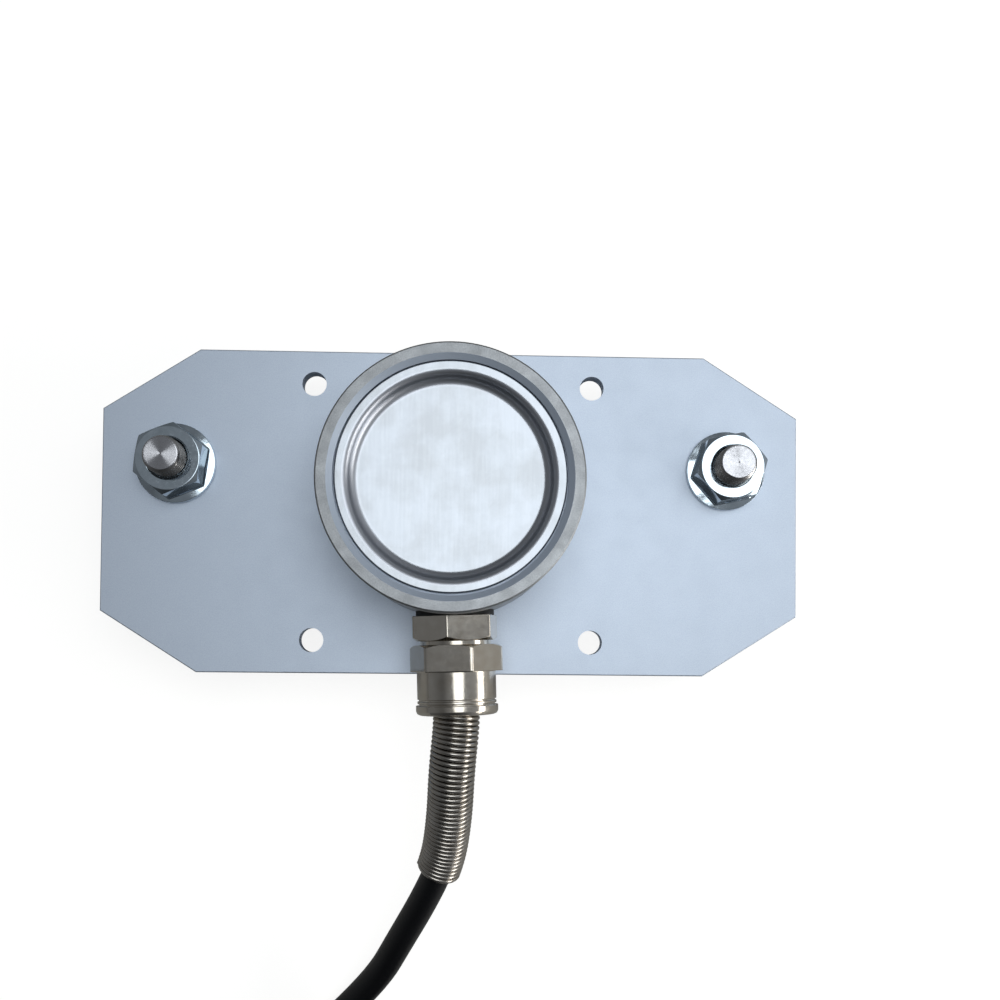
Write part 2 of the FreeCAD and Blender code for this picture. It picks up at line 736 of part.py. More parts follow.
def make_cage(label, where):
    body = new_body(label, upright_place(where, BEARING_MIDDLE))
    inner = "(ball_circle_radius - cage_wall / 2)"
    outer = "(ball_circle_radius + cage_wall / 2)"
    turn_profile(body, "cage_ring", ring_profile(inner, outer, "-cage_height / 2", "cage_height / 2"))
    window = new_sketch(body, "pocket_outline", "YZ_Plane")
    draw_circle(window, "0", "0", RACE_RADIUS)
    pocket = cut_sketch(body, "ball_pocket", window, "bearing_radius", reverse=True)
    repeat_round(body, "ball_pockets", [pocket], "ball_count")
    return body


def make_circlip(label, where, height, thickness, ring, lug):
    """A flat circlip: ring is (inner, outer) radius, lug is (distance, radius, hole radius) of its ears."""
    body = new_body(label, upright_place(where, height, "-90"))
    inner, outer = ring
    distance, radius, hole = lug
    lug_across = "sqrt(%s ^ 2 - (%s) ^ 2)" % (distance, "circlip_gap / 2 + " + radius)
    blank = new_sketch(body, "ring_outline", "XY_Plane")
    draw_circle(blank, "0", "0", outer)
    draw_circle(blank, "0", "0", inner)
    push_sketch(body, "ring", blank, thickness)
    ears = new_sketch(body, "ear_outline", "XY_Plane")
    holes = new_sketch(body, "hole_outline", "XY_Plane")
    for side in ("-", ""):
        aside = "%s(circlip_gap / 2 + %s)" % (side, radius)
        draw_circle(ears, lug_across, aside, radius)
        draw_circle(holes, lug_across, aside, hole)
    push_sketch(body, "ears", ears, thickness)
    gap = new_sketch(body, "gap_outline", "XY_Plane")
    draw_outline(gap, [
        ("0", "-circlip_gap / 2"), ("%s + 1" % outer, "-circlip_gap / 2"),
        ("%s + 1" % outer, "circlip_gap / 2"), ("0", "circlip_gap / 2"),
    ])
    cut_sketch(body, "gap", gap, thickness, reverse=True)
    cut_sketch(body, "ear_holes", holes, thickness, reverse=True)
    return body


def make_pulley(side, where):
    """All the pieces of one pulley, with the two that stay on the axle."""
    bore_outer = "(bearing_radius + bore_circlip_groove_depth)"
    bore_inner = "(%s - bore_circlip_width)" % bore_outer
    axle_inner = "(bearing_bore_radius - axle_circlip_groove_depth)"
    axle_outer = "(%s + axle_circlip_width)" % axle_inner
    return [
        make_sheave(side + "_sheave", where),
        make_outer_ring(side + "_bearing_outer_ring", where),
        make_shields(side + "_bearing_shields", where),
        make_balls(side + "_bearing_balls", where),
        make_cage(side + "_bearing_cage", where),
        make_inner_ring(side + "_bearing_inner_ring", where),
        make_circlip(side + "_bore_circlip", where, "bore_circlip_margin", "bore_circlip_thickness",
                     (bore_inner, bore_outer),
                     ("(%s - bore_circlip_lug_inset)" % bore_inner,
                      "bore_circlip_lug_radius", "bore_circlip_hole_radius")),
        make_circlip(side + "_axle_circlip", where, "%s - axle_circlip_thickness" % BEARING_BOTTOM,
                     "axle_circlip_thickness", (axle_inner, axle_outer),
                     ("(%s - axle_circlip_lug_inset)" % axle_outer,
                      "axle_circlip_lug_radius", "axle_circlip_hole_radius")),
    ]


# Load cell
def make_cell_body():
    body = new_body("load_cell_body", CELL_PLACE)
    rim_inner = "(cell_radius - cell_rim_width)"
    chamfer_bottom = "(cell_height - cell_rim_chamfer_depth)"
    turn_profile(body, "drum", [
        ("middle_thread_radius", "0"),
        ("boss_radius", "0"),
        ("boss_radius", "membrane_relief"),
        (MEMBRANE_RADIUS, "membrane_relief"),
        (MEMBRANE_RADIUS, "0"),
        ("cell_radius - cell_edge_break", "0"),
        ("cell_radius", "cell_edge_break"),
        ("cell_radius", "cell_height - cell_edge_break"),
        ("cell_radius - cell_edge_break", "cell_height"),
        (rim_inner, "cell_height"),
        (SEAT_RADIUS, chamfer_bottom),
        (SEAT_RADIUS, COVER_SEAT),
        (CELL_BORE_RADIUS, COVER_SEAT),
        (CELL_BORE_RADIUS, "cell_base_thickness"),
        (MEMBRANE_RADIUS, "cell_base_thickness"),
        (MEMBRANE_RADIUS, MEMBRANE_TOP),
        ("boss_radius", MEMBRANE_TOP),
        ("boss_radius", "boss_height"),
        ("0", "boss_height"),
        ("0", "boss_hole_depth"),
        ("middle_thread_radius", "boss_hole_depth"),
    ])
    holes = new_sketch(body, "screw_hole_outline", "XY_Plane")
    middle = "(180 deg / cell_screw_count)"
    draw_circle(holes, "%s * cos(%s)" % (CELL_SCREW_CIRCLE_RADIUS, middle),
                "%s * sin(%s)" % (CELL_SCREW_CIRCLE_RADIUS, middle), "cell_screw_radius")
    hole = cut_sketch(body, "screw_hole", holes, "cell_screw_depth + cell_screw_hole_spare", reverse=True)
    repeat_round(body, "screw_holes", [hole], "cell_screw_count")
    seat = new_sketch(body, "gland_seat_outline", "XZ_Plane", GLAND_SEAT_DISTANCE)
    draw_circle(seat, "0", "gland_height", "gland_seat_radius")
    cut_sketch(body, "gland_seat", seat, "cell_radius", reverse=True)
    port_start = "(%s - gland_thread_length)" % GLAND_HEX_START
    port = new_sketch(body, "gland_port_outline", "XZ_Plane", port_start)
    draw_circle(port, "0", "gland_height", "gland_thread_radius")
    cut_sketch(body, "gland_port", port, "cell_radius", reverse=True)
    return body


def make_cell_cover():
    body = new_body("load_cell_cover", COVER_PLACE)
    bend = "(dish_bend_angle * 1 deg)"
    lip_top = "(%s + cover_thickness)" % COVER_SEAT
    floor_top = "(%s - dish_depth)" % lip_top
    both_radii = "(dish_depth / (1 - cos(%s)))" % bend
    corner_radius = "(%s - dish_shoulder_radius)" % both_radii
    floor_radius = "(%s - dish_rim_width)" % COVER_RADIUS
    shoulder = "(%s + %s * sin(%s))" % (floor_radius, both_radii, bend)
    middle_radius = "(%s + %s * sin(%s))" % (floor_radius, corner_radius, bend)
    middle_height = "(%s + %s * (1 - cos(%s)))" % (floor_top, corner_radius, bend)
    below_radius = "%s + cover_thickness * sin(%s)" % (middle_radius, bend)
    below_height = "%s - cover_thickness * cos(%s)" % (middle_height, bend)
    turn_profile(body, "pressing", [
        ("0", "%s - cover_thickness" % floor_top),
        (floor_radius, "%s - cover_thickness" % floor_top, "right", "%s + cover_thickness" % corner_radius),
        (below_radius, below_height, "left", "dish_shoulder_radius - cover_thickness"),
        (shoulder, COVER_SEAT),
        (COVER_RADIUS, COVER_SEAT),
        (COVER_RADIUS, "%s - cover_edge_break" % lip_top),
        (COVER_RADIUS + " - cover_edge_break", lip_top),
        (shoulder, lip_top, "right", "dish_shoulder_radius"),
        (middle_radius, middle_height, "left", corner_radius),
        (floor_radius, floor_top),
        ("0", floor_top),
    ])
    return body


def make_strain_gauges():
    body = new_body("strain_gauges", CELL_PLACE)
    sketch = new_sketch(body, "gauge_outline", "XY_Plane", MEMBRANE_TOP)
    inner = "(boss_radius + gauge_margin)"
    outer = "(%s - gauge_margin)" % MEMBRANE_RADIUS
    half = "gauge_width / 2"
    draw_outline(sketch, [(inner, "-" + half), (outer, "-" + half), (outer, half), (inner, half)])
    gauge = push_sketch(body, "gauge", sketch, "gauge_thickness")
    repeat_round(body, "gauges", [gauge], "gauge_count")
    return body


def make_cell_screws():
    body = new_body("load_cell_screws", "placement(vector(0; cell_offset; plate_standoff);"
                                        " rotationz(cell_turn * 1 deg + 180 deg / cell_screw_count))")
    length = "(plate_thickness + cell_screw_depth)"
    slope = "(cell_screw_head_radius - cell_screw_radius)"
    sketch = new_sketch(body, "screw_profile", "XZ_Plane")
    place = CELL_SCREW_CIRCLE_RADIUS
    draw_outline(sketch, [
        (place, "0"),
        (place + " + cell_screw_head_radius", "0"),
        (place + " + cell_screw_radius", slope),
        (place + " + cell_screw_radius", length),
        (place, length),
    ])
    screw = body.newObject("PartDesign::Revolution", "screw")
    screw.Profile = sketch
    screw.ReferenceAxis = (sketch, ["Edge5"])
    screw.Angle = 360
    finish_feature(body, screw, sketch)
    socket_sketch = new_sketch(body, "socket_outline", "XY_Plane")
    flats = hexagon("cell_screw_socket_flats", "0")
    draw_outline(socket_sketch, [("%s + %s" % (place, across), along) for across, along in flats])
    socket = cut_sketch(body, "socket", socket_sketch, "cell_screw_socket_depth", reverse=True)
    repeat_round(body, "screws", [screw, socket], "cell_screw_count")
    return body


def board_place(index):
    angle = "(90 deg + 360 deg * %d / board_standoff_count)" % index
    reach = "(%s - board_standoff_inset)" % CELL_BORE_RADIUS
    return ("%s * cos(%s)" % (reach, angle), "%s * sin(%s)" % (reach, angle))


def make_board_standoffs():
    body = new_body("board_standoffs", CELL_PLACE)
    outline = new_sketch(body, "standoff_outline", "XY_Plane", "cell_base_thickness")
    bore = new_sketch(body, "standoff_bore_outline", "XY_Plane", BOARD_BOTTOM)
    for index in range(int(number("board_standoff_count"))):
        draw_circle(outline, *board_place(index), "board_standoff_radius")
        draw_circle(bore, *board_place(index), "board_screw_radius")
    push_sketch(body, "standoffs", outline, "board_standoff_height")
    cut_sketch(body, "standoff_bores", bore, "board_screw_depth")
    return body


def make_terminal_board():
    body = new_body("terminal_board", CELL_PLACE)
    sketch = new_sketch(body, "board_outline", "XY_Plane", BOARD_BOTTOM)
    draw_circle(sketch, "0", "0", CELL_BORE_RADIUS + " - board_clearance")
    draw_circle(sketch, "0", "0", "board_window_radius")
    for index in range(int(number("board_standoff_count"))):
        draw_circle(sketch, *board_place(index), "board_screw_radius")
    push_sketch(body, "board", sketch, "board_thickness")
    return body


def make_board_screws():
    body = new_body("board_screws", CELL_PLACE)
    top = "(%s + board_thickness)" % BOARD_BOTTOM
    shank = new_sketch(body, "shank_outline", "XY_Plane", "%s - board_screw_depth" % BOARD_BOTTOM)
    head = new_sketch(body, "head_outline", "XY_Plane", top)
    for index in range(int(number("board_standoff_count"))):
        draw_circle(shank, *board_place(index), "board_screw_radius")
        draw_circle(head, *board_place(index), "board_screw_head_radius")
    push_sketch(body, "shanks", shank, "board_screw_depth + board_thickness")
    push_sketch(body, "heads", head, "board_screw_head_height")
    return body


# Gland, along its own axis: heights of the profiles are distances from the load cell's axis
def make_gland_washer():
    body = new_body("gland_washer", GLAND_PLACE)
    turn_profile(body, "washer", ring_profile(
        "gland_thread_radius", "gland_washer_radius", GLAND_SEAT_DISTANCE, GLAND_HEX_START))
    return body


def make_gland_body():
    body = new_body("gland_body", GLAND_PLACE)
    sketch = new_sketch(body, "body_hexagon", "XY_Plane", GLAND_HEX_START)
    draw_outline(sketch, hexagon("gland_body_flats", "gland_body_turn"))
    push_sketch(body, "body_hex", sketch, "gland_body_hex_length")
    face = "(gland_body_flats / 2 - gland_face_inset)"
    chamfer_hexagon_end(body, "hex_outer_end", "gland_body_flats", face, GLAND_HEX_END, "-")
    thread_start = "(%s - gland_thread_length)" % GLAND_HEX_START
    turn_profile(body, "threads", [
        ("0", thread_start),
        ("gland_thread_radius - gland_hex_chamfer", thread_start),
        ("gland_thread_radius", "%s + gland_hex_chamfer" % thread_start),
        ("gland_thread_radius", GLAND_HEX_START),
        ("gland_neck_radius", GLAND_HEX_START),
        ("gland_neck_radius", GLAND_BODY_END),
        ("0", GLAND_BODY_END),
    ])
    bore = "(cable_radius + gland_bore_clearance)"
    turn_profile(body, "bore", [
        ("0", thread_start),
        (bore, thread_start),
        (bore, SEAL_START),
        ("seal_radius", SEAL_START),
        ("seal_radius", GLAND_BODY_END),
        ("0", GLAND_BODY_END),
    ], cut=True)
    return body


def make_gland_seal():
    body = new_body("gland_seal", GLAND_PLACE)
    turn_profile(body, "seal", ring_profile("cable_radius", "seal_radius", SEAL_START, SEAL_END))
    return body


def make_dome_nut():
    body = new_body("gland_dome_nut", GLAND_PLACE)
    sketch = new_sketch(body, "dome_hexagon", "XY_Plane", DOME_START)
    draw_outline(sketch, hexagon("dome_flats", "dome_turn"))
    push_sketch(body, "dome_hex", sketch, "dome_hex_length")
    chamfer_hexagon_end(body, "hex_end", "dome_flats", "(dome_flats / 2 + dome_face_margin)", DOME_START, "+")
    groove_floor = "(dome_radius - dome_groove_depth)"
    first_end = "(%s + dome_groove_width)" % SLEEVE_END
    second_start = "(%s + dome_ring_width)" % first_end
    lip_start = "(%s + dome_groove_width)" % second_start
    turn_profile(body, "sleeve", [
        ("0", DOME_START),
        ("dome_radius", DOME_START),
        ("dome_radius", SLEEVE_END),
        (groove_floor, SLEEVE_END),
        (groove_floor, first_end),
        ("dome_radius", first_end),
        ("dome_radius", second_start),
        (groove_floor, second_start),
        (groove_floor, lip_start),
        ("dome_lip_radius", lip_start),
        ("dome_lip_radius", "%s - dome_lip_rounding" % DOME_END, "right", "dome_lip_rounding"),
        ("dome_lip_radius - dome_lip_rounding", DOME_END),
        ("0", DOME_END),
    ])
    socket = "(%s + spring_socket_clearance)" % SPRING_OUTER_RADIUS
    throat = "(cable_radius + gland_bore_clearance)"
    turn_profile(body, "bore", [
        ("0", DOME_START),
        ("gland_neck_radius", DOME_START),
        ("gland_neck_radius", SEAL_END),
        (throat, SEAL_END),
        (throat, SOCKET_START),
        (socket, SOCKET_START),
        (socket, DOME_END),
        ("0", DOME_END),
    ], cut=True)
    return body


# Cable and spring
def gland_point(distance):
    """A point on the gland's axis at a distance from the load cell's axis."""
    turn = math.radians(number("cell_turn"))
    reach = number(distance)
    height = number(PLATE_TOP + " + gland_height")
    return Vector(reach * math.sin(turn), number("cell_offset") - reach * math.cos(turn), height)


# The cable droops from the gland, bends to the left and comes down to the floor
CABLE_ROUTE = [
    gland_point(CABLE_FREE_START),
    gland_point(DOME_END + " + cable_straight_exit"),
    Vector(0.7, -68.0, 46.6),
    Vector(0.2, -81.0, 41.0),
    Vector(-1.6, -94.0, 33.5),
    Vector(-6.9, -106.0, 27.0),
    Vector(-13.6, -118.5, 20.2),
    Vector(-20.0, -130.8, 13.0),
    Vector(-37.7, -149.9, 4.0),
    Vector(-46.0, -158.8, 4.0),
]
ARC_SHARE = 0.45


def route_edges(route):
    """Straight runs joined by tangent arcs, each as large as its two runs allow, and the arcs' radii."""
    edges = []
    radii = []
    here = route[0]
    for before, corner, after in zip(route, route[1:], route[2:]):
        towards = (corner - before).normalize()
        onwards = (after - corner).normalize()
        turn = towards.getAngle(onwards)
        cut = ARC_SHARE * min((corner - before).Length, (after - corner).Length)
        radii.append(cut / math.tan(turn / 2))
        arc_start = corner - towards * cut
        arc_end = corner + onwards * cut
        inwards = (onwards - towards).normalize()
        depth = radii[-1] * (1 / math.cos(turn / 2) - 1)
        edges.append(Part.LineSegment(here, arc_start).toShape())
        edges.append(Part.Arc(arc_start, corner + inwards * depth, arc_end).toShape())
        here = arc_end
    edges.append(Part.LineSegment(here, route[-1]).toShape())
    return edges, radii


def sweep_round(edges, radius):
    """A round bar along tangent edges, with its volume compared with section times length."""
    wire = Part.Wire(edges)
    start = edges[0].valueAt(edges[0].FirstParameter)
    towards = edges[0].tangentAt(edges[0].FirstParameter)
    circle = Part.Wire([Part.Circle(start, towards, radius).toShape()])
    bar = Part.Wire(wire).makePipeShell([circle], True, True)
    expected = math.pi * radius ** 2 * wire.Length
    if abs(bar.Volume / expected - 1) > 0.01:
        raise RuntimeError("a round bar has the volume %.1f instead of %.1f" % (bar.Volume, expected))
    return bar


def add_shape(label, shape):
    feature = document.addObject("Part::Feature", label)
    feature.Label = label
    feature.Shape = shape
    return feature


def make_cable():
    edges, radii = route_edges(CABLE_ROUTE)
    print("cable bend radii in mm:", ", ".join("%.0f" % radius for radius in radii))
    print("cable free length to the coil in mm: %.1f" % Part.Wire(edges).Length)
    return add_shape("cable", sweep_round(edges, number("cable_radius")))


def make_cable_inner_end():
    """The stretch of the cable inside the gland, up to its cut end in the load cell."""
    body = new_body("cable_inner_end", GLAND_PLACE)
    turn_profile(body, "sheath", ring_profile("0", "cable_radius", CABLE_INNER_DISTANCE, CABLE_FREE_START))
    return body


def make_spring():
    """Close-wound turns, as ridges along the cable's route around a smooth bore."""
    edges = route_edges(CABLE_ROUTE)[0]
    wire_radius = number("spring_wire_radius")
    crest_radius = number(SPRING_OUTER_RADIUS)
    valley_radius = crest_radius - wire_radius
    turns = int(number("spring_turns"))
    start = number(SOCKET_START) - number(CABLE_FREE_START)
    rings = [ring_on_route(edges, start, valley_radius)]
    for turn in range(turns):
        near = start + 2 * wire_radius * turn
        rings.append(ring_on_route(edges, near + wire_radius, crest_radius))
        rings.append(ring_on_route(edges, near + 2 * wire_radius, valley_radius))
    ridges = Part.makeLoft(rings, True, True)
    return add_shape("strain_relief_spring", ridges.cut(sweep_round(edges, number(SPRING_INNER_RADIUS))))


def ring_on_route(edges, distance, radius):
    centre, direction = point_along(edges, distance)
    return Part.Wire([Part.Circle(centre, direction, radius).toShape()])


def point_along(edges, distance):
    for edge in edges:
        if distance <= edge.Length:
            parameter = edge.getParameterByLength(distance)
            return edge.valueAt(parameter), edge.tangentAt(parameter)
        distance -= edge.Length
    raise RuntimeError("the route is too short")


def coil_layout():
    """The cable's last point and heading, where it joins the coil, and the coil's centre and outer turn."""
    last = CABLE_ROUTE[-1]
    heading = (last - CABLE_ROUTE[-2]).normalize()
    diameter = 2 * number("cable_radius")
    outer_turn = number("coil_middle_radius") + diameter * (number("coil_turns_across") - 1) / 2
    joined = last + heading * number("coil_join_length")
    centre = joined + Vector(-heading.y, heading.x, 0) * outer_turn
    return last, heading, joined, centre, outer_turn


def make_cable_coil():
    """The outer shape of the coil, with the piece that joins it and the one that comes down from it."""
    last, heading, joined, centre, outer_turn = coil_layout()
    radius = number("cable_radius")
    half_width = radius * number("coil_turns_across")
    height = 2 * radius * number("coil_turns_high")
    inner = number("coil_middle_radius") - half_width
    outer = number("coil_middle_radius") + half_width
    corners = [(inner, 0), (outer, 0), (outer, height), (inner, height), (inner, 0)]
    section = Part.Face(Part.makePolygon([Vector(centre.x + across, centre.y, up) for across, up in corners]))
    ring = section.revolve(Vector(centre.x, centre.y, 0), Vector(0, 0, 1), 360)
    ring = ring.makeFillet(radius, [edge for edge in ring.Edges if edge.isClosed()])
    inlet = Part.makeCylinder(radius, (joined - last).Length, last, heading)
    edges, radii = route_edges(coil_exit_route())
    print("coil exit bend radii in mm:", ", ".join("%.0f" % bend for bend in radii))
    return add_shape("cable_coil", ring.multiFuse([inlet, sweep_round(edges, radius)]).removeSplitter())


def coil_exit_route():
    """Off the top of the coil, part of a turn past the joining point, then down to the floor beside it."""
    last, heading, joined, centre, outer_turn = coil_layout()
    radius = number("cable_radius")
    top = radius * (2 * number("coil_turns_high") - 1)
    middle_height = (top + radius) / 2
    leaving = math.atan2(joined.y - centre.y, joined.x - centre.x) + math.radians(number("coil_exit_angle"))
    reach = number("coil_exit_reach")
    beyond = leaving + math.atan2(reach, outer_turn)
    beside = outer_turn + number("coil_exit_distance")
    step = math.radians(number("coil_exit_step"))

    def around(angle, distance, height):
        return Vector(centre.x + distance * math.cos(angle), centre.y + distance * math.sin(angle), height)

    return [
        around(leaving, outer_turn, top),
        around(beyond, math.hypot(outer_turn, reach), top),
        around(beyond + step, beside, middle_height),
        around(beyond + 2 * step, beside, radius),
        around(beyond + 3 * step, beside, radius),
    ]


def make_cable_leads():
    """Four stripped cores that spread from the cable's far end and come down to the floor."""
    route = coil_exit_route()
    end = route[-1]
    direction = (end - route[-2]).normalize()
    radius = number("lead_radius")
    length = number("lead_length")
    side = Vector(-direction.y, direction.x, 0)
    fall = math.degrees(math.asin((number("cable_radius") - radius) / length))
    leads = []
    count = int(number("lead_count"))
    for index in range(count):
        aside = index - (count - 1) / 2
        root = end + side * aside * number("lead_spacing")
        lead = Part.makeCylinder(radius, length, root, direction)
        lead.rotate(root, side, fall)
        lead.rotate(root, Vector(0, 0, 1), aside * number("lead_spread_angle"))
        leads.append(lead)
    return add_shape("cable_leads", Part.makeCompound(leads))


def make_cable_cores():
    """Cores that bend up from the cable's inner end to the terminal board."""
    radius = number("core_radius")
    bend = number("core_bend_radius")
    inner = number(CABLE_INNER_DISTANCE)
    half_spacing = number("core_spacing") / 2
    cores = []
    for across, up in ((-1, -1), (1, -1), (-1, 1), (1, 1)):
        aside = across * half_spacing
        level = number("gland_height") + up * half_spacing
        turn_distance = inner - number("core_straight_length") - bend * (1 - up) / 2
        points = [
            Vector(aside, -inner, level),
            Vector(aside, -turn_distance, level),
            Vector(aside, -turn_distance + bend, level + bend),
            Vector(aside, -turn_distance + bend, number(BOARD_BOTTOM)),
        ]
        middle = Vector(aside, -turn_distance + bend * math.sin(math.pi / 4),
                        level + bend * (1 - math.cos(math.pi / 4)))
        edges = [
            Part.LineSegment(points[0], points[1]).toShape(),
            Part.Arc(points[1], middle, points[2]).toShape(),
            Part.LineSegment(points[2], points[3]).toShape(),
        ]
        cores.append(sweep_round(edges, radius))
    feature = add_shape("cable_cores", Part.makeCompound(cores))
    feature.setExpression("Placement", linked(CELL_PLACE))
    return feature


def make_all():
    pieces = [
        make_base_plate(),
        make_outer_axle("left_axle", PULLEY_PLACES["left"]),
        make_outer_axle("right_axle", PULLEY_PLACES["right"]),
        make_middle_axle(PULLEY_PLACES["middle"]),
        make_flange_nut("left_flange_nut", PULLEY_PLACES["left"], "left_nut_turn"),
        make_flange_nut("right_flange_nut", PULLEY_PLACES["right"], "right_nut_turn"),
        make_cell_body(),
        make_cell_cover(),
        make_cell_screws(),
        make_strain_gauges(),
        make_board_standoffs(),
        make_terminal_board(),
        make_board_screws(),
        make_gland_washer(),
        make_gland_body(),
        make_gland_seal(),
        make_dome_nut(),
        make_cable_inner_end(),
        make_cable_cores(),
        make_spring(),
        make_cable(),
        make_cable_coil(),
        make_cable_leads(),
    ]
    for side, where in PULLEY_PLACES.items():
        pieces += make_pulley(side, where)
    return pieces


def check_and_write(pieces):
    document.recompute()
    for item in document.Objects:
        if "Invalid" in item.State or "Error" in item.State:
            raise RuntimeError("%s (%s) failed: %s" % (item.Name, item.Label, item.State))
    for piece in pieces:
        shape = piece.Shape
        if shape.isNull() or not shape.isValid() or not shape.Solids:
            raise RuntimeError("%s has no valid solid" % piece.Label)
    os.makedirs("parts", exist_ok=True)
    for piece in pieces:
        shape = piece.Shape
        box = shape.BoundBox
        print("%-26s solids %2d  volume %10.1f  z %7.2f to %7.2f" % (
            piece.Label, len(shape.Solids), shape.Volume, box.ZMin, box.ZMax))
        shape.exportStep(os.path.join("parts", piece.Label + ".step"))


check_and_write(make_all())
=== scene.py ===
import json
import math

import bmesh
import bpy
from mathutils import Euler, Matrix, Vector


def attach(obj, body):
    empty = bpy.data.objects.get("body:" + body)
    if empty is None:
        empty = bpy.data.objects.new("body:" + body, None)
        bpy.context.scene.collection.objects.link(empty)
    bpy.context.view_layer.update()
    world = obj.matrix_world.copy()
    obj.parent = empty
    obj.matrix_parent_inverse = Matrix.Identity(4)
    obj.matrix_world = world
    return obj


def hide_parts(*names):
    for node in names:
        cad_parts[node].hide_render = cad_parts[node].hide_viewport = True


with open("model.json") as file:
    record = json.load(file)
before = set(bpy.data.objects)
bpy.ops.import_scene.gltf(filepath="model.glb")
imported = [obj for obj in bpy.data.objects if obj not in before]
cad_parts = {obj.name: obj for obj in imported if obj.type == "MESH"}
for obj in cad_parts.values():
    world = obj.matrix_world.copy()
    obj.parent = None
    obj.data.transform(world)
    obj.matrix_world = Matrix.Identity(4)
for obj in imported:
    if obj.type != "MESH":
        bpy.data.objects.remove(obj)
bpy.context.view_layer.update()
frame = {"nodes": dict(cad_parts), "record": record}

# %% [markdown]
# # A three-pulley tension sensor, seen from its back
#
# The sensor measures the pull in a wire that runs over three small pulleys. The photograph looks straight
# at the back: a clear-anodised aluminium plate, two flange nuts on the ends of the outer axles, a round
# stainless load cell, and a nickel-plated gland that a black cable leaves through a spring.
#
# The CAD parts give every piece its place and size. This script gives them their finishes and builds anew
# the pieces whose look needs more than the CAD has: the screw threads, the nuts with soft edges, the true
# helix of the spring and the free cable. Blender works in metres here, and sizes are written in
# millimetres where a maker would do so.

MM = 0.001

# %% [markdown]
# ## The camera
#
# The camera stands 333 mm above the floor and looks almost straight down. It could be aimed by hand until
# the picture looks right, but an error of half a degree would show in a view as flat as this one. So its
# place and its three angles come from a fit of the plate's corners and holes. The photograph is cut from
# a larger one, and the lens is shifted upwards for that instead of tilting the camera.

# %% Camera
CAMERA_PLACE = (0.00354, -0.03667, 0.33296)
CAMERA_ANGLES = (-1.439, 1.937, -0.574)

camera_data = bpy.data.cameras.new("camera")
camera_data.lens = 40.05
camera_data.sensor_width = 36.0
camera_data.shift_x = -0.0019
camera_data.shift_y = 0.12
camera_data.clip_start = 0.01
camera_data.clip_end = 20.0
camera = bpy.data.objects.new("camera", camera_data)
bpy.context.scene.collection.objects.link(camera)
world_to_camera = Euler([math.radians(angle) for angle in CAMERA_ANGLES], "XYZ").to_matrix()
camera.matrix_world = Matrix.Translation(CAMERA_PLACE) @ world_to_camera.transposed().to_4x4()
bpy.context.scene.camera = camera
bpy.context.scene.view_settings.view_transform = "Standard"
print("camera height in mm:", round(camera.matrix_world.translation.z / MM, 1))

# %% [markdown]
# ## Helpers for finishes
#
# A finish here is one Principled shader. A real surface is never one flat value, so its colour, its
# roughness and its relief each follow a noise whose grain has the real size. Pictures could do the same,
# but noise has no seams and stays sharp at any distance. Object coordinates are used, in metres, so a
# noise scale of 1000 gives a grain of about a millimetre.


# %% Colours
def srgb(red, green, blue):
    """The linear colour of a screen colour from 0 to 255."""
    return tuple((value / 255.0) ** 2.2 for value in (red, green, blue)) + (1.0,)


def darker(colour, share):
    return tuple(share * value for value in colour[:3]) + (1.0,)


# %% Math node
def math_node(tree, operation, first, second, third=None):
    """A math node whose inputs are numbers or the outputs of other nodes."""
    node = tree.nodes.new("ShaderNodeMath")
    node.operation = operation
    for socket, value in zip(node.inputs, (first, second, third)):
        if value is None:
            continue
        if isinstance(value, (int, float)):
            socket.default_value = value
        else:
            tree.links.new(value, socket)
    return node.outputs["Value"]


# %% Finish
class Finish:
    """A new material with one Principled shader, to which nodes can be added."""

    def __init__(self, name, colour, metallic, roughness):
        self.material = bpy.data.materials.new(name)
        self.material.use_nodes = True
        self.tree = self.material.node_tree
        self.shader = self.tree.nodes["Principled BSDF"]
        self.shader.inputs["Base Color"].default_value = colour
        self.shader.inputs["Metallic"].default_value = metallic
        self.shader.inputs["Roughness"].default_value = roughness
        self.place = self.node("ShaderNodeTexCoord").outputs["Object"]
        print("finish:", name)

    def node(self, kind, **settings):
        made = self.tree.nodes.new(kind)
        for name, value in settings.items():
            setattr(made, name, value)
        return made

    def link(self, source, target):
        self.tree.links.new(source, target)

    def feed(self, source, socket):
        """A node's output led into one of the shader's own sockets."""
        self.link(source, self.shader.inputs[socket])


# %% [markdown]
# ## The steps of a finish
#
# Three small steps make every finish: a noise gives a value for each point, a range turns that value into
# a roughness or a share, and a mix turns a share into a colour. They could be one large function with many
# arguments. Apart, they can be put together in another order for each finish.


# %% Noise, range and mix
def noise(finish, scale, detail=3.0, where=None, roughness=0.5):
    grain = finish.node("ShaderNodeTexNoise")
    grain.inputs["Scale"].default_value = scale
    grain.inputs["Detail"].default_value = detail
    grain.inputs["Roughness"].default_value = roughness
    finish.link(where or finish.place, grain.inputs["Vector"])
    return grain.outputs["Fac"]


def spread(finish, source, low, high, from_low=0.3, from_high=0.7):
    """A value mapped from one range to another."""
    ranged = finish.node("ShaderNodeMapRange")
    ranged.inputs["From Min"].default_value = from_low
    ranged.inputs["From Max"].default_value = from_high
    ranged.inputs["To Min"].default_value = low
    ranged.inputs["To Max"].default_value = high
    finish.link(source, ranged.inputs["Value"])
    return ranged.outputs["Result"]


def mixed(finish, share, first, second):
    """A colour between two, each a colour or a node's output, by a share from 0 to 1."""
    mix = finish.node("ShaderNodeMix", data_type="RGBA")
    finish.link(share, mix.inputs["Factor"])
    for socket, colour in ((mix.inputs["A"], first), (mix.inputs["B"], second)):
        if isinstance(colour, tuple):
            socket.default_value = colour
        else:
            finish.link(colour, socket)
    return mix.outputs["Result"]


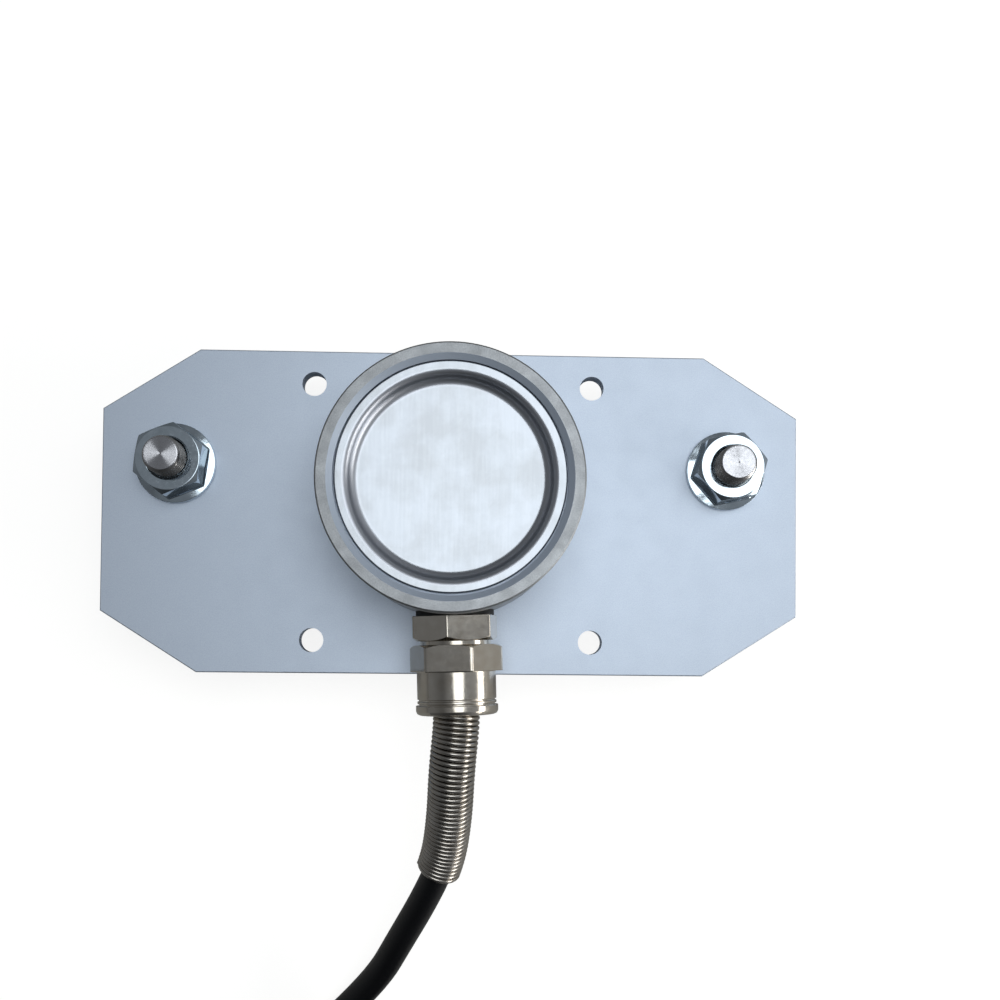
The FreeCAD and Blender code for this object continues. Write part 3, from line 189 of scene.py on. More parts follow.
# %% Varied colour, roughness and relief
def vary_colour(finish, source, first, second, from_low=0.3, from_high=0.7):
    share = spread(finish, source, 0.0, 1.0, from_low, from_high)
    finish.feed(mixed(finish, share, first, second), "Base Color")


def vary_roughness(finish, source, low, high):
    finish.feed(spread(finish, source, low, high), "Roughness")


def bump(finish, height, distance, strength=1.0):
    """Relief of a height in metres, added to the relief that is there."""
    relief = finish.node("ShaderNodeBump")
    relief.inputs["Distance"].default_value = distance
    relief.inputs["Strength"].default_value = strength
    finish.link(height, relief.inputs["Height"])
    before = finish.shader.inputs["Normal"].links
    if before:
        finish.link(before[0].from_socket, relief.inputs["Normal"])
    finish.feed(relief.outputs["Normal"], "Normal")


# %% [markdown]
# ## The plate's finish
#
# Clear anodising leaves aluminium satin and a little bluish, with an even speckle too fine to feel. A
# plain metal at roughness 0.5 would do from far away. Up close the speckle gives the surface its scale, so
# one noise with a grain of a fifth of a millimetre drives both the colour and a very low relief.


# %% Anodised plate
def anodised_plate():
    finish = Finish("anodised_plate", srgb(218, 230, 246), 0.85, 0.5)
    speckle = noise(finish, 5200.0, 2.0)
    vary_colour(finish, speckle, srgb(212, 224, 242), srgb(224, 236, 250), 0.35, 0.65)
    vary_roughness(finish, noise(finish, 180.0, 4.0), 0.52, 0.54)
    bump(finish, speckle, 0.006 * MM, 0.6)
    return finish.material


# %% [markdown]
# ## The load cell's finishes
#
# The drum is bead blasted stainless, warmer and duller than the plate. The bevel inside its rim was left
# paler and more matt. It could be a piece of its own with its own material, but on the real drum it is one
# face of one turned part. So the material finds it: it measures the distance from the drum's axis and
# changes inside a radius.


# %% Distance from the load cell's axis
CELL_Y = 4.0
BEVEL_RADIUS = 29.7
BEVEL_BLEND = 0.1


def distance_from_cell_axis(finish):
    """How far a point is from the load cell's upright axis, in metres."""
    flat = finish.node("ShaderNodeVectorMath", operation="MULTIPLY_ADD")
    flat.inputs[1].default_value = (1.0, 1.0, 0.0)
    flat.inputs[2].default_value = (0.0, -CELL_Y * MM, 0.0)
    finish.link(finish.place, flat.inputs[0])
    length = finish.node("ShaderNodeVectorMath", operation="LENGTH")
    finish.link(flat.outputs["Vector"], length.inputs[0])
    return length.outputs["Value"]


# %% Blasted stainless
def blasted_stainless():
    finish = Finish("stainless", srgb(160, 164, 168), 1.0, 0.42)
    grain = noise(finish, 4200.0)
    speckled = spread(finish, grain, 0.0, 1.0, 0.35, 0.65)
    blasted = mixed(finish, speckled, srgb(150, 154, 158), srgb(174, 177, 180))
    from_axis = distance_from_cell_axis(finish)
    bevel = spread(finish, from_axis, 1.0, 0.0, BEVEL_RADIUS * MM, (BEVEL_RADIUS + BEVEL_BLEND) * MM)
    finish.feed(mixed(finish, bevel, blasted, srgb(186, 198, 214)), "Base Color")
    finish.feed(spread(finish, bevel, 1.0, 0.35, 0.0, 1.0), "Metallic")
    vary_roughness(finish, noise(finish, 260.0, 4.0), 0.40, 0.52)
    bump(finish, grain, 0.012 * MM, 0.7)
    return finish.material


# %% [markdown]
# ## The cover's finish
#
# The cover is a drawn pressing from brushed sheet. Its flat parts show soft clouds of a few millimetres
# over faint lengthwise streaks. The steep wall of the dish was stretched in the press, which leaves it more
# matt, so its reflection is blurred. Its colour is painted lighter there too, a painted sheen that stands
# in for the wall's brighter reflection. Two soft steps by radius, multiplied, pick out that wall.

# %% Where the wall of the dish is
WALL_START = (22.4, 23.4)
WALL_END = (25.6, 26.3)


def dish_wall(finish):
    """One on the wall of the dish and zero on the flat parts, with soft borders."""
    from_axis = distance_from_cell_axis(finish)
    outside_floor = spread(finish, from_axis, 0.0, 1.0, WALL_START[0] * MM, WALL_START[1] * MM)
    inside_lip = spread(finish, from_axis, 1.0, 0.0, WALL_END[0] * MM, WALL_END[1] * MM)
    return math_node(finish.tree, "MULTIPLY", outside_floor, inside_lip)


# %% Brushed cover
def stretched(finish, scale):
    """Object coordinates multiplied per axis, for grain with a direction."""
    mapping = finish.node("ShaderNodeMapping")
    mapping.inputs["Scale"].default_value = scale
    finish.link(finish.place, mapping.inputs["Vector"])
    return mapping.outputs["Vector"]


def brushed_cover():
    finish = Finish("stainless_cover", srgb(163, 168, 175), 1.0, 0.22)
    scratches = noise(finish, 1300.0, 3.0, stretched(finish, (1.0, 0.06, 0.2)))
    streaks = spread(finish, scratches, 0.0, 1.0, 0.42, 0.62)
    dull = mixed(finish, streaks, srgb(148, 152, 157), srgb(151, 155, 160))
    bright = mixed(finish, streaks, srgb(158, 163, 170), srgb(161, 166, 173))
    clouds = spread(finish, noise(finish, 95.0, 5.0, roughness=0.6), 0.0, 1.0, 0.36, 0.60)
    wall = dish_wall(finish)
    # The wall's lighter colour is a painted sheen for its brighter reflection; its higher roughness is the
    # stretched metal.
    finish.feed(mixed(finish, wall, mixed(finish, clouds, dull, bright), srgb(182, 186, 194)), "Base Color")
    finish.feed(spread(finish, wall, 0.21, 0.37, 0.0, 1.0), "Roughness")
    finish.feed(spread(finish, wall, 1.0, 0.93, 0.0, 1.0), "Metallic")
    bump(finish, scratches, 0.004 * MM, 0.4)
    bump(finish, noise(finish, 210.0, 4.0), 0.004 * MM, 0.5)
    return finish.material


# %% [markdown]
# ## Plated finishes
#
# The nuts are bright zinc, the gland is nickel plated and the spring is drawn wire. All three are close to
# a mirror. A perfect mirror would look computed, because plating follows the slight waves of the metal
# under it. Two noises, coarse and fine, tilt the surface a little and make the reflections waver.


# %% Plated metal
def plated(name, first, second, smooth, rough, ripple):
    """Bright plating between two colours, with waves of a height given in mm."""
    finish = Finish(name, first, 1.0, smooth)
    vary_colour(finish, noise(finish, 300.0), first, second)
    vary_roughness(finish, noise(finish, 900.0, 4.0), smooth, rough)
    bump(finish, noise(finish, 420.0, 2.0), ripple * MM, 0.5)
    bump(finish, noise(finish, 1500.0), 0.4 * ripple * MM, 0.5)
    return finish.material


# %% [markdown]
# ## Turned finishes
#
# Axles, bearings, stand-offs and pulleys are turned. Seen from the side, a fine grain in colour, gloss and
# relief is enough. The flat end of a turned bar is different: its rings draw every light out into two
# bright fans that meet in the middle. Modelled rings would need thousands of faces. An anisotropic shader
# gives the fans by itself, when its direction runs round the axis.


# %% Turned metal
def turned(name, colour, roughness):
    """Turned metal with a fine grain in its colour, gloss and relief."""
    finish = Finish(name, colour, 1.0, roughness)
    grain = noise(finish, 2600.0)
    vary_colour(finish, grain, darker(colour, 0.92), colour)
    vary_roughness(finish, grain, roughness * 0.85, roughness * 1.2)
    bump(finish, grain, 0.006 * MM, 0.5)
    return finish.material


# %% Turned end of a bar
QUARTER_TURN = 0.25


def turned_face():
    """The end of a turned bar, with fine rings about the vertical axis of the piece itself."""
    finish = Finish("turned_face", srgb(198, 199, 204), 1.0, 0.25)
    rings = finish.node("ShaderNodeTexWave", wave_type="RINGS", rings_direction="Z", wave_profile="SIN")
    rings.inputs["Scale"].default_value = 2600.0
    rings.inputs["Distortion"].default_value = 0.1
    finish.link(finish.place, rings.inputs["Vector"])
    bump(finish, rings.outputs["Fac"], 0.002 * MM, 0.5)
    finish.shader.inputs["Anisotropic"].default_value = 1.0
    finish.shader.inputs["Anisotropic Rotation"].default_value = QUARTER_TURN
    across = finish.node("ShaderNodeTangent", direction_type="RADIAL", axis="Z")
    finish.feed(across.outputs["Tangent"], "Tangent")
    vary_roughness(finish, noise(finish, 1500.0), 0.22, 0.30)
    return finish.material


# %% [markdown]
# ## Plastic, rubber and blackened steel
#
# The cable's sheath is black PVC with a slight sheen, the washer and the seal are rubber, and the circlips
# are blackened spring steel. Black things still need a colour above zero, or they lose their shape in the
# picture. A coarse noise shifts the colour and a fine one gives the skin its grain.


# %% Plain material
def plain(name, colour, roughness, scale, depth, metallic=0.0):
    """An even colour with a grain of a scale, and a relief of a depth in mm."""
    finish = Finish(name, colour, metallic, roughness)
    grain = noise(finish, scale)
    vary_roughness(finish, grain, roughness * 0.9, min(1.0, roughness * 1.15))
    vary_colour(finish, noise(finish, scale / 8, 2.0), darker(colour, 0.85), colour)
    bump(finish, grain, depth * MM, 0.6)
    return finish.material


# %% [markdown]
# ## Every finish on its piece
#
# The record names a material slot for each CAD piece. One dictionary from slot to finish lets a loop dress
# all the pieces, which is surer than a list of pieces here: a piece can't be forgotten.

# %% Finishes by slot
finishes = {
    "anodised_plate": anodised_plate(),
    "stainless": blasted_stainless(),
    "stainless_cover": brushed_cover(),
    "zinc_plate": plated("zinc_plate", srgb(200, 213, 224), srgb(187, 201, 211), 0.07, 0.15, 0.03),
    "nickel_plate": plated("nickel_plate", srgb(212, 206, 196), srgb(198, 190, 178), 0.12, 0.2, 0.008),
    "spring_steel": plated("spring_steel", srgb(190, 186, 180), srgb(172, 166, 158), 0.16, 0.26, 0.004),
    "turned_steel": turned("turned_steel", srgb(176, 175, 174), 0.26),
    "turned_face": turned_face(),
    "bearing_steel": turned("bearing_steel", srgb(208, 208, 210), 0.16),
    "brass_plain": turned("brass_plain", srgb(214, 186, 120), 0.28),
    "cage_brass": turned("cage_brass", srgb(212, 180, 112), 0.3),
    "pulley_aluminium": turned("pulley_aluminium", srgb(196, 199, 204), 0.34),
    "black_steel": plain("black_steel", srgb(52, 52, 54), 0.5, 2400.0, 0.01, 0.6),
    "black_rubber": plain("black_rubber", srgb(34, 34, 34), 0.75, 1800.0, 0.02),
    "cable_sheath": plain("cable_sheath", srgb(17, 18, 21), 0.38, 1500.0, 0.01),
    "core_sheath": plain("core_sheath", srgb(210, 205, 190), 0.5, 1500.0, 0.01),
    "circuit_board": plain("circuit_board", srgb(30, 104, 62), 0.35, 700.0, 0.01),
    "gauge_foil": plain("gauge_foil", srgb(208, 150, 70), 0.35, 1200.0, 0.01),
}
for piece in frame["record"]["subparts"]:
    node = frame["nodes"][piece["node"]]
    for material_slot in node.material_slots:
        material_slot.material = finishes[piece["material_slot"]]

# %% [markdown]
# ## The cable's route
#
# The real cable leaves the gland level, droops to the floor and swings to the left. The same points as in
# the CAD model are repeated here, in millimetres, because a cord's route has no formula. The first two
# lie on the gland's axis, which is turned by two degrees with the load cell.

# %% Route
CABLE_RADIUS = 4.0 * MM
CELL_TURN = math.radians(2.0)
GLAND_HEIGHT = 48.0
CABLE_START = 50.05


def on_gland_axis(distance):
    """A point in mm on the gland's axis at a distance from the load cell's axis."""
    return (distance * math.sin(CELL_TURN), CELL_Y - distance * math.cos(CELL_TURN), GLAND_HEIGHT)


ROUTE = [
    on_gland_axis(CABLE_START),
    on_gland_axis(58.55),
    (0.7, -68.0, 46.6),
    (0.2, -81.0, 41.0),
    (-1.6, -94.0, 33.5),
    (-6.9, -106.0, 27.0),
    (-13.6, -118.5, 20.2),
    (-20.0, -130.8, 13.0),
    (-37.7, -149.9, 4.0),
    (-46.0, -158.8, 4.0),
]
print("free part of the cable:", len(ROUTE), "points")

# %% [markdown]
# ## The coil
#
# What the photograph doesn't show of the three metres is put away as a round coil, just outside the view.
# A spiral formula would give turns that cut through each other where they climb. So each turn has a level,
# a place in the coil's section, and the cable moves on by one level per turn. The spline used below
# touches the middle of each leg between its points, so the points lie outside the circle by
# 1 / cos(half a step) and the legs touch it.

# %% Sizes of the coil
STEPS_PER_TURN = 16
POINTS_PER_LEVEL = 15
LAST_POINTS = 9
COIL_MIDDLE_RADIUS = 53.9
COIL_JOIN_LENGTH = 33.0
EXIT_REACH = 26.0
EXIT_DISTANCE = 13.0
TOP_LAYER = 2.5
# After it has left the coil, the cable comes down beside it: steps onward, and the height in mm
WAY_DOWN = ((1, 12.0), (2, 4.0), (3, 4.0))
# Each turn's place in the coil's section: steps of one diameter outwards and upwards from the middle
LEVELS = [(1, 0), (1, 1), (0, 1), (0, 0), (-1, 0), (-1, 1), (-1, 2), (0, 2), (1, 2)]
print("turns of the coil:", len(LEVELS))


# %% Points of the coil
def coil_points():
    """The route's last points, all round the coil and down beside it, in mm."""
    last = Vector(ROUTE[-1])
    heading = (last - Vector(ROUTE[-2])).normalized()
    diameter = 2 * CABLE_RADIUS / MM
    outer_turn = COIL_MIDDLE_RADIUS + diameter
    joined = last + COIL_JOIN_LENGTH * heading
    centre = joined + outer_turn * Vector((-heading.y, heading.x, 0.0))
    first_angle = math.atan2(joined.y - centre.y, joined.x - centre.x)
    step = 2 * math.pi / STEPS_PER_TURN

    def around(angle, radius, height):
        return (centre.x + radius * math.cos(angle), centre.y + radius * math.sin(angle), height)

    points = []
    for level, (outward, upward) in enumerate(LEVELS):
        count = LAST_POINTS if level == len(LEVELS) - 1 else POINTS_PER_LEVEL
        for _ in range(count):
            angle = first_angle + (len(points) + 0.5) * step
            radius = (COIL_MIDDLE_RADIUS + outward * diameter) / math.cos(step / 2)
            points.append(around(angle, radius, diameter * (upward + 0.5)))
    leaving = first_angle + len(points) * step + math.atan2(EXIT_REACH, outer_turn)
    points.append(around(leaving, math.hypot(outer_turn, EXIT_REACH), TOP_LAYER * diameter))
    for steps, height in WAY_DOWN:
        points.append(around(leaving + steps * step, outer_turn + EXIT_DISTANCE, height))
    return points


cable_points = ROUTE + coil_points()
print("whole cable:", len(cable_points), "points")

# %% [markdown]
# ## The cable as a curve
#
# A cord could be a chain of cylinders or a mesh pipe. A curve with a round bevel is simpler: the route
# stays editable, and the bevel keeps its roundness in every bend. The spline is a quadratic NURBS. It
# never swings out past its points, as a curve that has to go through every point can.


# %% Curve
def spline_curve(name, points, bevel):
    """A quadratic spline that touches the middles of the legs between points given in mm."""
    data = bpy.data.curves.new(name, "CURVE")
    data.dimensions = "3D"
    data.resolution_u = 6
    data.bevel_depth = bevel
    data.bevel_resolution = 6
    data.use_fill_caps = True
    spline = data.splines.new("NURBS")
    spline.points.add(len(points) - 1)
    for point, place in zip(spline.points, points):
        point.co = (*(value * MM for value in place), 1.0)
    spline.order_u = 3
    spline.use_endpoint_u = True
    return bpy.data.objects.new(name, data)


# %% Cable
cable = spline_curve("cable_free", cable_points, CABLE_RADIUS)
bpy.context.scene.collection.objects.link(cable)
cable.data.materials.append(finishes["cable_sheath"])
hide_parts("cable", "cable_coil")
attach(cable, "base")

# %% [markdown]
# ## Measuring along the cable
#
# The spring's turns have to sit on the cable's line at even distances, and the length has to come out at
# three metres. Blender can turn a curve into a chain of short edges. A walk along that chain gives a point
# and a direction every so often, and the number of points gives the length.


# %% Points along the line
def line_along(points, spacing):
    """Points in metres at even distances along the spline, each with the line's direction."""
    guide = spline_curve("guide", points, 0.0)
    guide.data.resolution_u = 64
    bpy.context.scene.collection.objects.link(guide)
    line = bpy.data.meshes.new_from_object(guide)
    corners = [vertex.co.copy() for vertex in line.vertices]
    bpy.data.objects.remove(guide)
    places = []
    due = 0.0
    passed = 0.0
    for start, end in zip(corners, corners[1:]):
        length = (end - start).length
        while length and due <= passed + length:
            places.append((start.lerp(end, (due - passed) / length), (end - start).normalized()))
            due += spacing
        passed += length
    return places


print("length of the whole cable in mm:", len(line_along(cable_points, MM)) - 1)

# %% [markdown]
# ## Helpers for pieces
#
# Smooth shading blends the directions of neighbouring faces, which makes a large flat face look bulged
# near a rounded edge. A bevel modifier with hardened normals would cure that. Here the meshes already
# have their soft edges, so it is enough to weigh each face by its area: the large flat faces win.


# %% Shading
def keep_flats(mesh):
    """Smooth shading with normals weighted by area, so that flat faces stay flat up to their soft edges."""
    normals = [Vector() for _ in mesh.vertices]
    for polygon in mesh.polygons:
        polygon.use_smooth = True
        for index in polygon.vertices:
            normals[index] += polygon.area * polygon.normal
    mesh.normals_split_custom_set_from_vertices([normal.normalized() for normal in normals])


def size_in_mm(mesh):
    """The mesh's length along each axis."""
    sides = []
    for axis in range(3):
        values = [vertex.co[axis] for vertex in mesh.vertices]
        sides.append(round((max(values) - min(values)) / MM, 1))
    return sides


# %% Piece
def new_piece(name, mesh, slot, replaced, place=None, origin=None):
    """A mesh as an object on the base, with its finish and the CAD pieces that it stands for."""
    if place is not None:
        mesh.transform(place)
    piece = bpy.data.objects.new(name, mesh)
    bpy.context.scene.collection.objects.link(piece)
    if origin is not None:
        piece.matrix_world = Matrix.Translation(origin)
    mesh.materials.append(finishes[slot])
    keep_flats(mesh)
    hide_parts(*replaced)
    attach(piece, "base")
    print(name, "has", len(mesh.polygons), "faces and measures", size_in_mm(mesh), "mm")
    return piece


# %% [markdown]
# ## Turned shapes
#
# A turned part is a profile carried round an axis, which a screw modifier does too. Several pieces here
# have a hexagon or a thread, though, and their profile changes with the angle. So a function gives a column
# of points for each angle, and faces join each column to the next. A real edge is never quite sharp and
# shows as a thin highlight, so each corner of a profile becomes a small curve first.


# %% Column mesh
def column_mesh(name, angles, column):
    """A closed turned piece. column(angle) gives the same number of (radius, height) points each time."""
    build = bmesh.new()
    columns = []
    for angle in angles:
        across = math.cos(angle)
        along = math.sin(angle)
        columns.append([
            build.verts.new((radius * across, radius * along, height)) for radius, height in column(angle)])
    for before, after in zip(columns, columns[1:] + columns[:1]):
        for index, corner in enumerate(before):
            following = (index + 1) % len(before)
            build.faces.new((corner, after[index], after[following], before[following]))
    bmesh.ops.remove_doubles(build, verts=build.verts, dist=0.0005 * MM)
    bmesh.ops.recalc_face_normals(build, faces=build.faces)
    mesh = bpy.data.meshes.new(name)
    build.to_mesh(mesh)
    build.free()
    return mesh


# %% Soft edges
def softened(profile, amount, steps=3):
    """The profile in mm with each sharp corner replaced by a small curve, in metres."""
    soft = []
    for index, corner in enumerate(profile):
        before = Vector(profile[index - 1])
        here = Vector(corner)
        after = Vector(profile[(index + 1) % len(profile)])
        back = min(amount, 0.4 * (before - here).length)
        onward = min(amount, 0.4 * (after - here).length)
        start = here + back * (before - here).normalized()
        end = here + onward * (after - here).normalized()
        for step in range(steps + 1):
            share = step / steps
            point = start.lerp(here, share).lerp(here.lerp(end, share), share)
            soft.append((point.x * MM, point.y * MM))
    return soft


# %% Angles round a piece
STEPS_OF_A_SIDE = (-0.9, 0.0, 0.9, 4.0, 8.0, 13.0, 18.0, 24.0, 30.0, 36.0, 42.0, 47.0, 52.0, 56.0)


def even_angles(count):
    return [2 * math.pi * index / count for index in range(count)]


def hexagon_angles(corner):
    """Angles for a hexagonal piece, closer together at its corners."""
    return [corner + math.radians(60 * side + step) for side in range(6) for step in STEPS_OF_A_SIDE]


def hexagon_reach(angle, corner, flats, rounding=0.12):
    """The distance in mm from the axis to a hexagon's side at an angle, with its corners a little blunt."""
    off_middle = (angle - corner) % (math.pi / 3) - math.pi / 6
    return min(flats / 2 / math.cos(off_middle), flats / math.sqrt(3) - rounding)


# %% [markdown]
# ## The flange nuts
#
# An M10 flange nut, with the hexagon rising out of a round flange. A nut is often made as a hexagonal
# prism cut by a cone. Here each column of points runs from the mouth over the face, down the hexagon's side
# and out over the flange. Where a side meets the slope of the flange depends on the angle, so the edge
# between them is a curve, as on the real nut, and no boolean is needed. The upper corners are turned down
# to a circle at 30 degrees.

# %% Sizes of a flange nut
PLATE_TOP = 29.0
AXLE_X = 75.0
AXLE_Y = 12.5
THIRTY_DEGREES = math.tan(math.radians(30))
NUT_FLATS = 17.0
NUT_HEIGHT = 10.0
NUT_FACE_RADIUS = 8.4
NUT_BORE_RADIUS = 5.0
NUT_MOUTH_RADIUS = 5.8
NUT_MOUTH_DEPTH = 0.46
FLANGE_RADIUS = 10.75
FLANGE_EDGE_HEIGHT = 1.6
FLANGE_SLOPE = 0.18
FLANGE_BREAK = 0.3
# Nearer to the axis than this radius, the flange rises more steeply to the hexagon
FOOT_RADIUS = 8.9
FOOT_HEIGHT = 1.93
FOOT_RISE = 0.97
FOOT_WIDTH = 0.7
NUT_EDGE = 0.12


# %% Shape of a flange nut
def flange_height(radius):
    """The flange's upper face in mm: almost flat outside, steeper where it meets the hexagon."""
    if radius > FOOT_RADIUS:
        return FLANGE_EDGE_HEIGHT + FLANGE_SLOPE * (FLANGE_RADIUS - radius)
    return FOOT_HEIGHT + FOOT_RISE * (FOOT_RADIUS - radius) / FOOT_WIDTH


def nut_column(corner):
    def column(angle):
        reach = hexagon_reach(angle, corner, NUT_FLATS)
        chamfer = NUT_HEIGHT - max(0.0, reach - NUT_FACE_RADIUS) * THIRTY_DEGREES
        side = max(reach, NUT_FACE_RADIUS + 0.02)
        return softened([
            (NUT_BORE_RADIUS, 0.4),
            (NUT_BORE_RADIUS, NUT_HEIGHT - NUT_MOUTH_DEPTH),
            (NUT_MOUTH_RADIUS, NUT_HEIGHT),
            (NUT_FACE_RADIUS, NUT_HEIGHT),
            (side, chamfer),
            (side, flange_height(side) + 0.12),
            (side + 0.3, flange_height(side + 0.3)),
            (FLANGE_RADIUS, FLANGE_EDGE_HEIGHT),
            (FLANGE_RADIUS, FLANGE_BREAK),
            (FLANGE_RADIUS - FLANGE_BREAK, 0.0),
            (NUT_MOUTH_RADIUS, 0.0),
        ], NUT_EDGE)
    return column


# %% Flange nuts
for side, x, turn in (("left", -AXLE_X, 22.0), ("right", AXLE_X, 12.0)):
    corner = math.radians(turn)
    name = "flange_nut_" + side
    mesh = column_mesh(name, hexagon_angles(corner), nut_column(corner))
    place = Matrix.Translation((x * MM, AXLE_Y * MM, PLATE_TOP * MM))
    new_piece(name, mesh, "zinc_plate", [side + "_flange_nut"], place)

# %% [markdown]
# ## The load cell's cover
#
# A thin pressing with a flat lip, a rounded shoulder, a steep wall and a flat floor. A subdivided ring
# could be pulled into this shape by hand. Its bends are true arcs, though, and their reflections show any
# fault, so the profile is worked out from its radii and turned round the axis. The shoulder's arc and the
# corner's arc bend by the same angle, so they meet without a kink.

# %% Sizes of the cover
COVER_TOP = 68.0 - PLATE_TOP
COVER_Y = 4.2
COVER_RADIUS = 28.0
COVER_THICKNESS = 1.0
COVER_EDGE = 0.25
LIP_RING = 0.4
DISH_DEPTH = 3.0
DISH_FLOOR_RADIUS = COVER_RADIUS - 5.7
DISH_BEND = math.radians(75)
DISH_RADII = DISH_DEPTH / (1 - math.cos(DISH_BEND))
SHOULDER_RADIUS = 1.8
CORNER_RADIUS = DISH_RADII - SHOULDER_RADIUS
FLOOR_RINGS = (0.0, 4.0, 12.0, 20.0, 22.0)


# %% Profile of the cover
def arc_points(across, up, radius, start, end, steps=24):
    """Points in mm on an arc about a centre in the profile's plane."""
    points = []
    for step in range(steps + 1):
        angle = start + (end - start) * step / steps
        points.append((across + radius * math.sin(angle), up - radius * math.cos(angle)))
    return points


def cover_profile():
    """The cover's outline in metres, over the dish from its floor to the lip and back underneath."""
    floor_top = COVER_TOP - DISH_DEPTH
    corner = (DISH_FLOOR_RADIUS, floor_top + CORNER_RADIUS)
    shoulder = (DISH_FLOOR_RADIUS + DISH_RADII * math.sin(DISH_BEND), COVER_TOP - SHOULDER_RADIUS)
    turned_over = DISH_BEND - math.pi
    upper = arc_points(*corner, CORNER_RADIUS, 0.0, DISH_BEND)
    upper += arc_points(*shoulder, SHOULDER_RADIUS, turned_over, -math.pi)[1:]
    lip = [
        (COVER_RADIUS - LIP_RING, COVER_TOP),
        (COVER_RADIUS - COVER_EDGE, COVER_TOP),
        (COVER_RADIUS, COVER_TOP - COVER_EDGE),
        (COVER_RADIUS, COVER_TOP - COVER_THICKNESS),
    ]
    lower = arc_points(*shoulder, SHOULDER_RADIUS - COVER_THICKNESS, -math.pi, turned_over)
    lower += arc_points(*corner, CORNER_RADIUS + COVER_THICKNESS, DISH_BEND, 0.0)[1:]
    under = [(18.0, floor_top - COVER_THICKNESS), (0.0, floor_top - COVER_THICKNESS)]
    floor = [(radius, floor_top) for radius in FLOOR_RINGS]
    return [(radius * MM, height * MM) for radius, height in upper + lip + lower + under + floor]


# %% Cover
profile = cover_profile()
cover_place = Matrix.Translation((0.0, COVER_Y * MM, PLATE_TOP * MM)) @ Matrix.Rotation(CELL_TURN, 4, "Z")
cover_mesh = column_mesh("cell_cover", even_angles(180), lambda angle: profile)
new_piece("cell_cover", cover_mesh, "stainless_cover", ["load_cell_cover"], cover_place)

# %% [markdown]
# ## The gland
#
# The gland's body has a hexagon and a neck. Its dome nut has a hexagon too, then a sleeve with two narrow
# turned grooves and a rounded lip. Both are made like the nuts, standing on their end, because a profile
# is easiest to read as radius and height. One matrix then lays them on the gland's axis, which runs level
# out of the load cell. Heights are distances from the load cell's axis.

# %% Shape of the gland's body
GLAND_BORE_RADIUS = 4.6
GLAND_FLATS = 20.0
GLAND_FACE_RADIUS = 9.9
HEX_START = 32.5
HEX_END = 38.95
NECK_RADIUS = 9.1
NECK_END = 48.0


def gland_body_column(corner):
    def column(angle):
        reach = hexagon_reach(angle, corner, GLAND_FLATS)
        chamfer = max(0.02, (reach - GLAND_FACE_RADIUS) * THIRTY_DEGREES)
        return softened([
            (GLAND_BORE_RADIUS, HEX_START),
            (reach - 0.2, HEX_START),
            (reach, HEX_START + 0.2),
            (reach, HEX_END - chamfer),
            (GLAND_FACE_RADIUS, HEX_END),
            (NECK_RADIUS, HEX_END),
            (NECK_RADIUS, NECK_END),
            (GLAND_BORE_RADIUS, NECK_END),
        ], 0.12)
    return column


# %% Sizes of the gland's dome
DOME_FLATS = 21.0
DOME_FACE_RADIUS = 10.7
DOME_START = 39.95
DOME_HEX_END = 46.75
SLEEVE_RADIUS = 10.1
SLEEVE_END = 53.75
GROOVE_RADIUS = 9.7
RING_START = 54.2
RING_END = 54.85
LIP_START = 55.3
LIP_RADIUS = 10.5
DOME_END = 57.75
DOME_MOUTH_RADIUS = 6.2


# %% Shape of the gland's dome
def dome_column(corner):
    def column(angle):
        reach = hexagon_reach(angle, corner, DOME_FLATS)
        chamfer = max(0.02, (reach - DOME_FACE_RADIUS) * THIRTY_DEGREES)
        return softened([
            (NECK_RADIUS, DOME_START),
            (10.4, DOME_START),
            (reach, DOME_START + chamfer),
            (reach, DOME_HEX_END - 0.15),
            (reach - 0.15, DOME_HEX_END),
            (SLEEVE_RADIUS, DOME_HEX_END),
            (SLEEVE_RADIUS, SLEEVE_END),
            (GROOVE_RADIUS, SLEEVE_END),
            (GROOVE_RADIUS, RING_START),
            (SLEEVE_RADIUS, RING_START),
            (SLEEVE_RADIUS, RING_END),
            (GROOVE_RADIUS, RING_END),
            (GROOVE_RADIUS, LIP_START),
            (LIP_RADIUS, LIP_START),
            (LIP_RADIUS, DOME_END - 1.0),
            (LIP_RADIUS - 0.3, DOME_END - 0.3),
            (LIP_RADIUS - 1.0, DOME_END),
            (DOME_MOUTH_RADIUS, DOME_END),
            (DOME_MOUTH_RADIUS, 54.05),
            (NECK_RADIUS, 49.0),
        ], 0.14)
    return column


# %% Gland
gland_place = (Matrix.Translation((0.0, CELL_Y * MM, GLAND_HEIGHT * MM))
               @ Matrix.Rotation(CELL_TURN, 4, "Z") @ Matrix.Rotation(math.pi / 2, 4, "X"))
for name, node, turn, column in (("gland_body_hexagon", "gland_body", 40.0, gland_body_column),
                                 ("gland_dome", "gland_dome_nut", 10.0, dome_column)):
    corner = math.radians(turn)
    mesh = column_mesh(name, hexagon_angles(corner), column(corner))
    new_piece(name, mesh, "nickel_plate", [node], gland_place)

# %% [markdown]
# ## The threaded ends of the outer axles
#
# The CAD axle is a plain bar where its thread is. A helix could be swept round it and joined, but the
# joint is hard to keep clean. Instead a new skin is put round the bar, whose radius goes up and down with
# height, and the pattern rises by one pitch of 1.5 mm per turn. A copy of the CAD axle is drawn in at its
# upper end, so that it stays inside the skin. The end is turned, with a small centre mark.

# %% Sizes of the thread
THREAD_PITCH = 1.5
THREAD_START = 37.5
TIP_TOP = 45.5
TIP_RADIUS = 4.35
CREST_RADIUS = 5.0
ROOT_RADIUS = 4.15
ROOT_SHARE = 0.1
FLANK_SHARE = 0.33
ROWS_PER_PITCH = 16
# The turned end from its edge to the centre mark: radii at full height, then the mark's floor
TIP_RINGS = (TIP_RADIUS - 0.3, 2.4, 1.2, 0.28)
MARK_RADIUS = 0.02
MARK_DEPTH = 0.2
SKIN_INNER_RADIUS = 3.9


